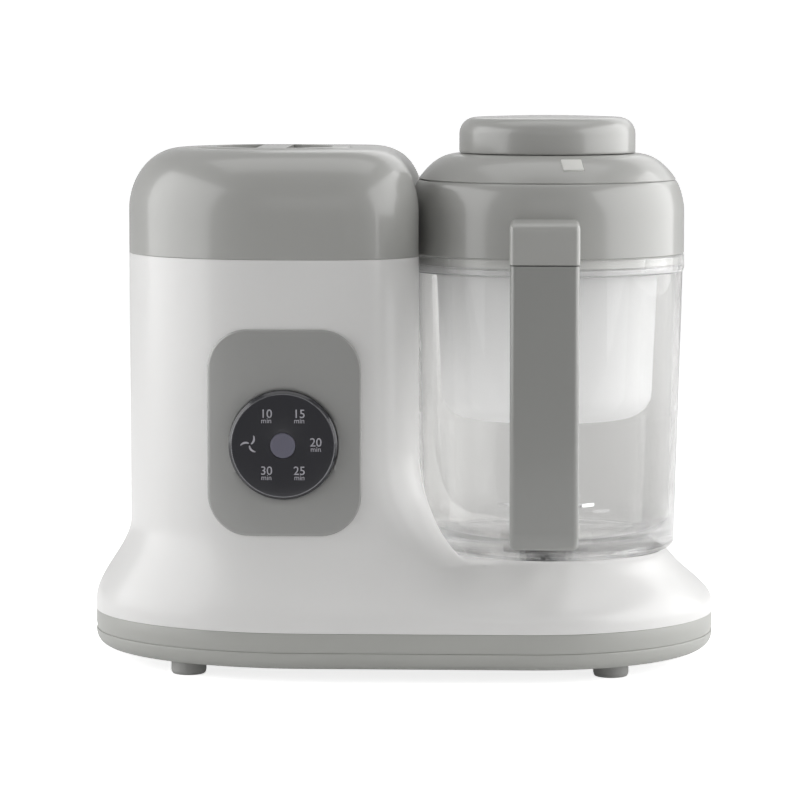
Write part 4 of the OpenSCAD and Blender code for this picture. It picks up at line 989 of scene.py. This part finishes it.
cutAway(lidRing, rod(lid["inletR"], 8, (jarX - jar["rimR"], 0, nozzleZ), (0, math.pi / 2, 0)))
finished(lidRing, "lid", greyPlastic, ["lid_base"])


run = lid["domeR"] - lid["topR"]


def domeHeight(r):
    return domeZ + lid["domeH"] * (1 - (max(0, r - lid["topR"]) / run) ** lid["power"])


outer = [(lid["domeR"] - run * t, domeHeight(lid["domeR"] - run * t)) for t in np.linspace(0.02, 1, 16)]
inner = [(lid["domeR"] - lid["wall"] - (run - lid["wall"]) * t,
          domeHeight(lid["domeR"] - run * t) - lid["wall"] * (0.35 + 0.65 * t))
         for t in np.linspace(1, 0.08, 14)]
collar = [(lid["feedR"] + 0.3, domeTop), (lid["feedR"], domeTop - 0.3), (lid["feedR"], domeTop - 7),
          (lid["feedR"] + 2.4, domeTop - 7), (lid["feedR"] + 2.4, domeTop - lid["wall"])]
dome = turned("lidDome", [(lid["domeR"] - 0.5, domeZ + 0.1)] + outer + collar + inner
              + [(lid["domeR"] - lid["wall"], domeZ + 0.1)], jarX, 160)
ventPlate = dict(turn=12.5, w=9, long=7.4, t=3, proud=0.25, gap=0.2)
ventR = lid["topR"] + 0.6 * run
slope = math.atan(lid["power"] * lid["domeH"] / run * 0.6 ** (lid["power"] - 1))
ventPlace = (Matrix.Translation((jarX, 0, 0)) @ Matrix.Rotation(math.radians(ventPlate["turn"] - 90), 4, "Z")
             @ Matrix.Translation((ventR, 0, domeHeight(ventR))) @ Matrix.Rotation(slope, 4, "Y"))
hole = block((ventPlate["long"] + ventPlate["gap"], ventPlate["w"] + ventPlate["gap"], 12), (0, 0, 0))
hole.data.transform(ventPlace)
cutAway(dome, hole)
finished(dome, "lid", greyPlastic, ["lid_dome"])
vent = block((ventPlate["long"], ventPlate["w"], ventPlate["t"]),
             (0, 0, ventPlate["proud"] - ventPlate["t"] / 2))
softenEdges(vent, 0.5, 40, 3)
vent.data.transform(ventPlace)
vent.name = "steamVent"
finished(vent, "lid", palePlastic, ["steam_vent"])

capZ = domeTop + 0.3
plugOut = lid["feedR"] - 1.9
capTop = capZ + lid["capH"]
feedCap = turned("feedCap", softened([
    (0, domeTop - 9.5), (plugOut, domeTop - 9.5, 0.8), (plugOut, capZ), (lid["capR"] - 0.2, capZ, 0.4),
    (lid["capR"], capZ + 0.8, 0.6),
    (lid["capR"], capTop - 0.9, lid["capEdge"]), (15, capTop - 0.1), (0, capTop), (0, capTop - lid["wall"]),
    (lid["capR"] - lid["wall"], capTop - lid["wall"], lid["capEdge"] - lid["wall"]),
    (lid["capR"] - lid["wall"], capZ + lid["wall"], 0.5),
    (plugOut - 2.4, capZ + lid["wall"]), (plugOut - 2.4, domeTop - 7.4), (0, domeTop - 7.4)], 12), jarX, 160)
finished(feedCap, "feed_cap", greyPlastic, ["feed_cap"])
print("lid done")

# pieces whose modelled shape stays get their own finishes
finishes = {
    "housing_screws frame_screws board_screws handle_screws": groundSteel,
    "boiler_tank blade_shaft": bladeSteel,
    "motor_shaft drive_shaft lower_bearing upper_bearing": groundSteel,
    "heater_plate": castAlloy,
    "motor": motorSteel,
    "control_board power_board": boardGreen,
    "thermal_fuse": fuseCeramic,
    "indicator_leds tank_neck steam_nozzle": palePlastic,
    "steam_hose nozzle_seal lid_seal feed_cap_seal": clearSilicone,
    "shaft_seal tank_lid_seal": redSilicone,
    "drive_frame boiler_stand": nylonPlastic,
    "drive_pulley driven_pulley drive_coupling jar_coupling cooling_fan": darkPlastic,
    "blade_nut tact_switch jar_switch thermostat": darkPlastic,
    "drive_belt": beltRubber,
    "cord_gland": footRubber,
}
for names, material in finishes.items():
    for name in names.split():
        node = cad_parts[name]
        node.data.materials.clear()
        node.data.materials.append(material)
print("inner pieces finished")


def stageMaterial():
    # white paper that glows for the camera; seen through the clear jar its glow is a painted shade, dimmest
    # straight behind the jar and brighter to the sides
    finish = Finish("paperSweep", (0.86, 0.86, 0.86), 0.9)
    finish.mottle(finish.noise(8, 2), 0.004)
    path = finish.tree.nodes.new("ShaderNodeLightPath")
    seen = (Link(finish.tree, path.outputs["Is Camera Ray"])
            + 0.33 * Link(finish.tree, path.outputs["Is Glossy Ray"]))
    glow = finish.add("ShaderNodeEmission", {}, {"Color": (1, 1, 1, 1), "Strength": 0.8})
    none = finish.add("ShaderNodeEmission", {}, {"Color": (0, 0, 0, 1), "Strength": 0.0})
    shown = finish.add("ShaderNodeMixShader", {}, {0: seen, 1: none, 2: glow})
    both = finish.add("ShaderNodeAddShader", {}, {0: Link(finish.tree, finish.surface.outputs[0]), 1: shown})
    # painted shade: for rays through the clear jar the paper glows dimmer straight behind the jar than to
    # either side
    across = finish.add("ShaderNodeSeparateXYZ", {}, {0: finish.place()}, "X") - jarX * toMetres
    throughJarShade = finish.add("ShaderNodeMapRange", {"interpolation_type": "SMOOTHSTEP"},
                       {"Value": across.math("ABSOLUTE", across, 0), "From Min": 0.05, "From Max": 0.22,
                        "To Min": 0.53, "To Max": 0.76})
    behind = finish.add("ShaderNodeEmission", {}, {"Color": (1, 0.995, 0.985, 1), "Strength": throughJarShade})
    through = Link(finish.tree, path.outputs["Is Transmission Ray"])
    whole = finish.add("ShaderNodeMixShader", {}, {0: through, 1: both, 2: behind})
    finish.tree.links.new(whole.socket, finish.output.inputs["Surface"])
    return finish.material


stage = dict(halfW=3.5, front=-0.5, back=2.2, bend=0.8, height=3.2, rows=19)
deselect()
bpy.ops.mesh.primitive_grid_add(x_subdivisions=1, y_subdivisions=stage["rows"], size=1)
sweepFloor = bpy.context.object
sweepFloor.name = "paperSweep"
profile = [(stage["front"], 0)]
for k in range(stage["rows"] - 1):
    a = math.radians(90 * k / (stage["rows"] - 2))
    profile.append((stage["back"] + stage["bend"] * math.sin(a), stage["bend"] * (1 - math.cos(a))))
profile.append((stage["back"] + stage["bend"], stage["height"]))
placeVerts(sweepFloor, [(x, y, z) for y, z in profile for x in (-stage["halfW"], stage["halfW"])])
bpy.ops.object.shade_smooth()
sweepFloor.data.materials.append(stageMaterial())

lamps = dict(left=("leftLamp", (-1.3, -0.18, 0.5), (1.7, 1.4), 17),
             right=("rightLamp", (1.25, 0.0, 0.5), (2.2, 1.4), 25),
             top=("topLamp", (0, 0.1, 1.6), (1.6, 1.0), 6), back=("backLamp", (0.4, 1.1, 0.8), (1.2, 0.6), 2),
             front=("frontLamp", (0.1, -2.2, 0.9), (1.2, 0.8), 1.6))
for name, at, size, power in lamps.values():
    light = bpy.data.lights.new(name, "AREA")
    light.shape = "RECTANGLE"
    light.size, light.size_y = size
    light.energy = power
    lamp = bpy.data.objects.new(name, light)
    bpy.context.scene.collection.objects.link(lamp)
    lamp.location = at
    lamp.rotation_euler = (Vector((0, 0, 0.1)) - Vector(at)).to_track_quat("-Z", "Y").to_euler()

world = bpy.data.worlds.new("studio")
bpy.context.scene.world = world
world.use_nodes = True
background = world.node_tree.nodes["Background"]
background.inputs["Color"].default_value = (0.93, 0.93, 0.93, 1)
path = world.node_tree.nodes.new("ShaderNodeLightPath")
room = (Link(world.node_tree, path.outputs["Is Transmission Ray"]) * 0.6
        + Link(world.node_tree, path.outputs["Is Glossy Ray"]) * 0.36
        + Link(world.node_tree, path.outputs["Is Camera Ray"]) * 0.98 + 0.09)
world.node_tree.links.new(room.socket, background.inputs["Strength"])

view = dict(turn=2.2, distance=1620, height=273, aimX=-1.63, aimZ=113.3, lens=167.0)
turn = math.radians(view["turn"])
eye = Vector((view["distance"] * math.sin(turn), midY - view["distance"] * math.cos(turn),
              view["height"])) * toMetres
aim = Vector((view["aimX"], midY, view["aimZ"])) * toMetres
bpy.ops.object.camera_add(location=eye)
camera = bpy.context.object
camera.data.lens = view["lens"]
camera.data.sensor_width = 36
camera.rotation_euler = (aim - eye).to_track_quat("-Z", "Y").to_euler()
bpy.context.scene.camera = camera
bpy.context.scene.view_settings.view_transform = "Standard"
print("stage, lamps and camera set")
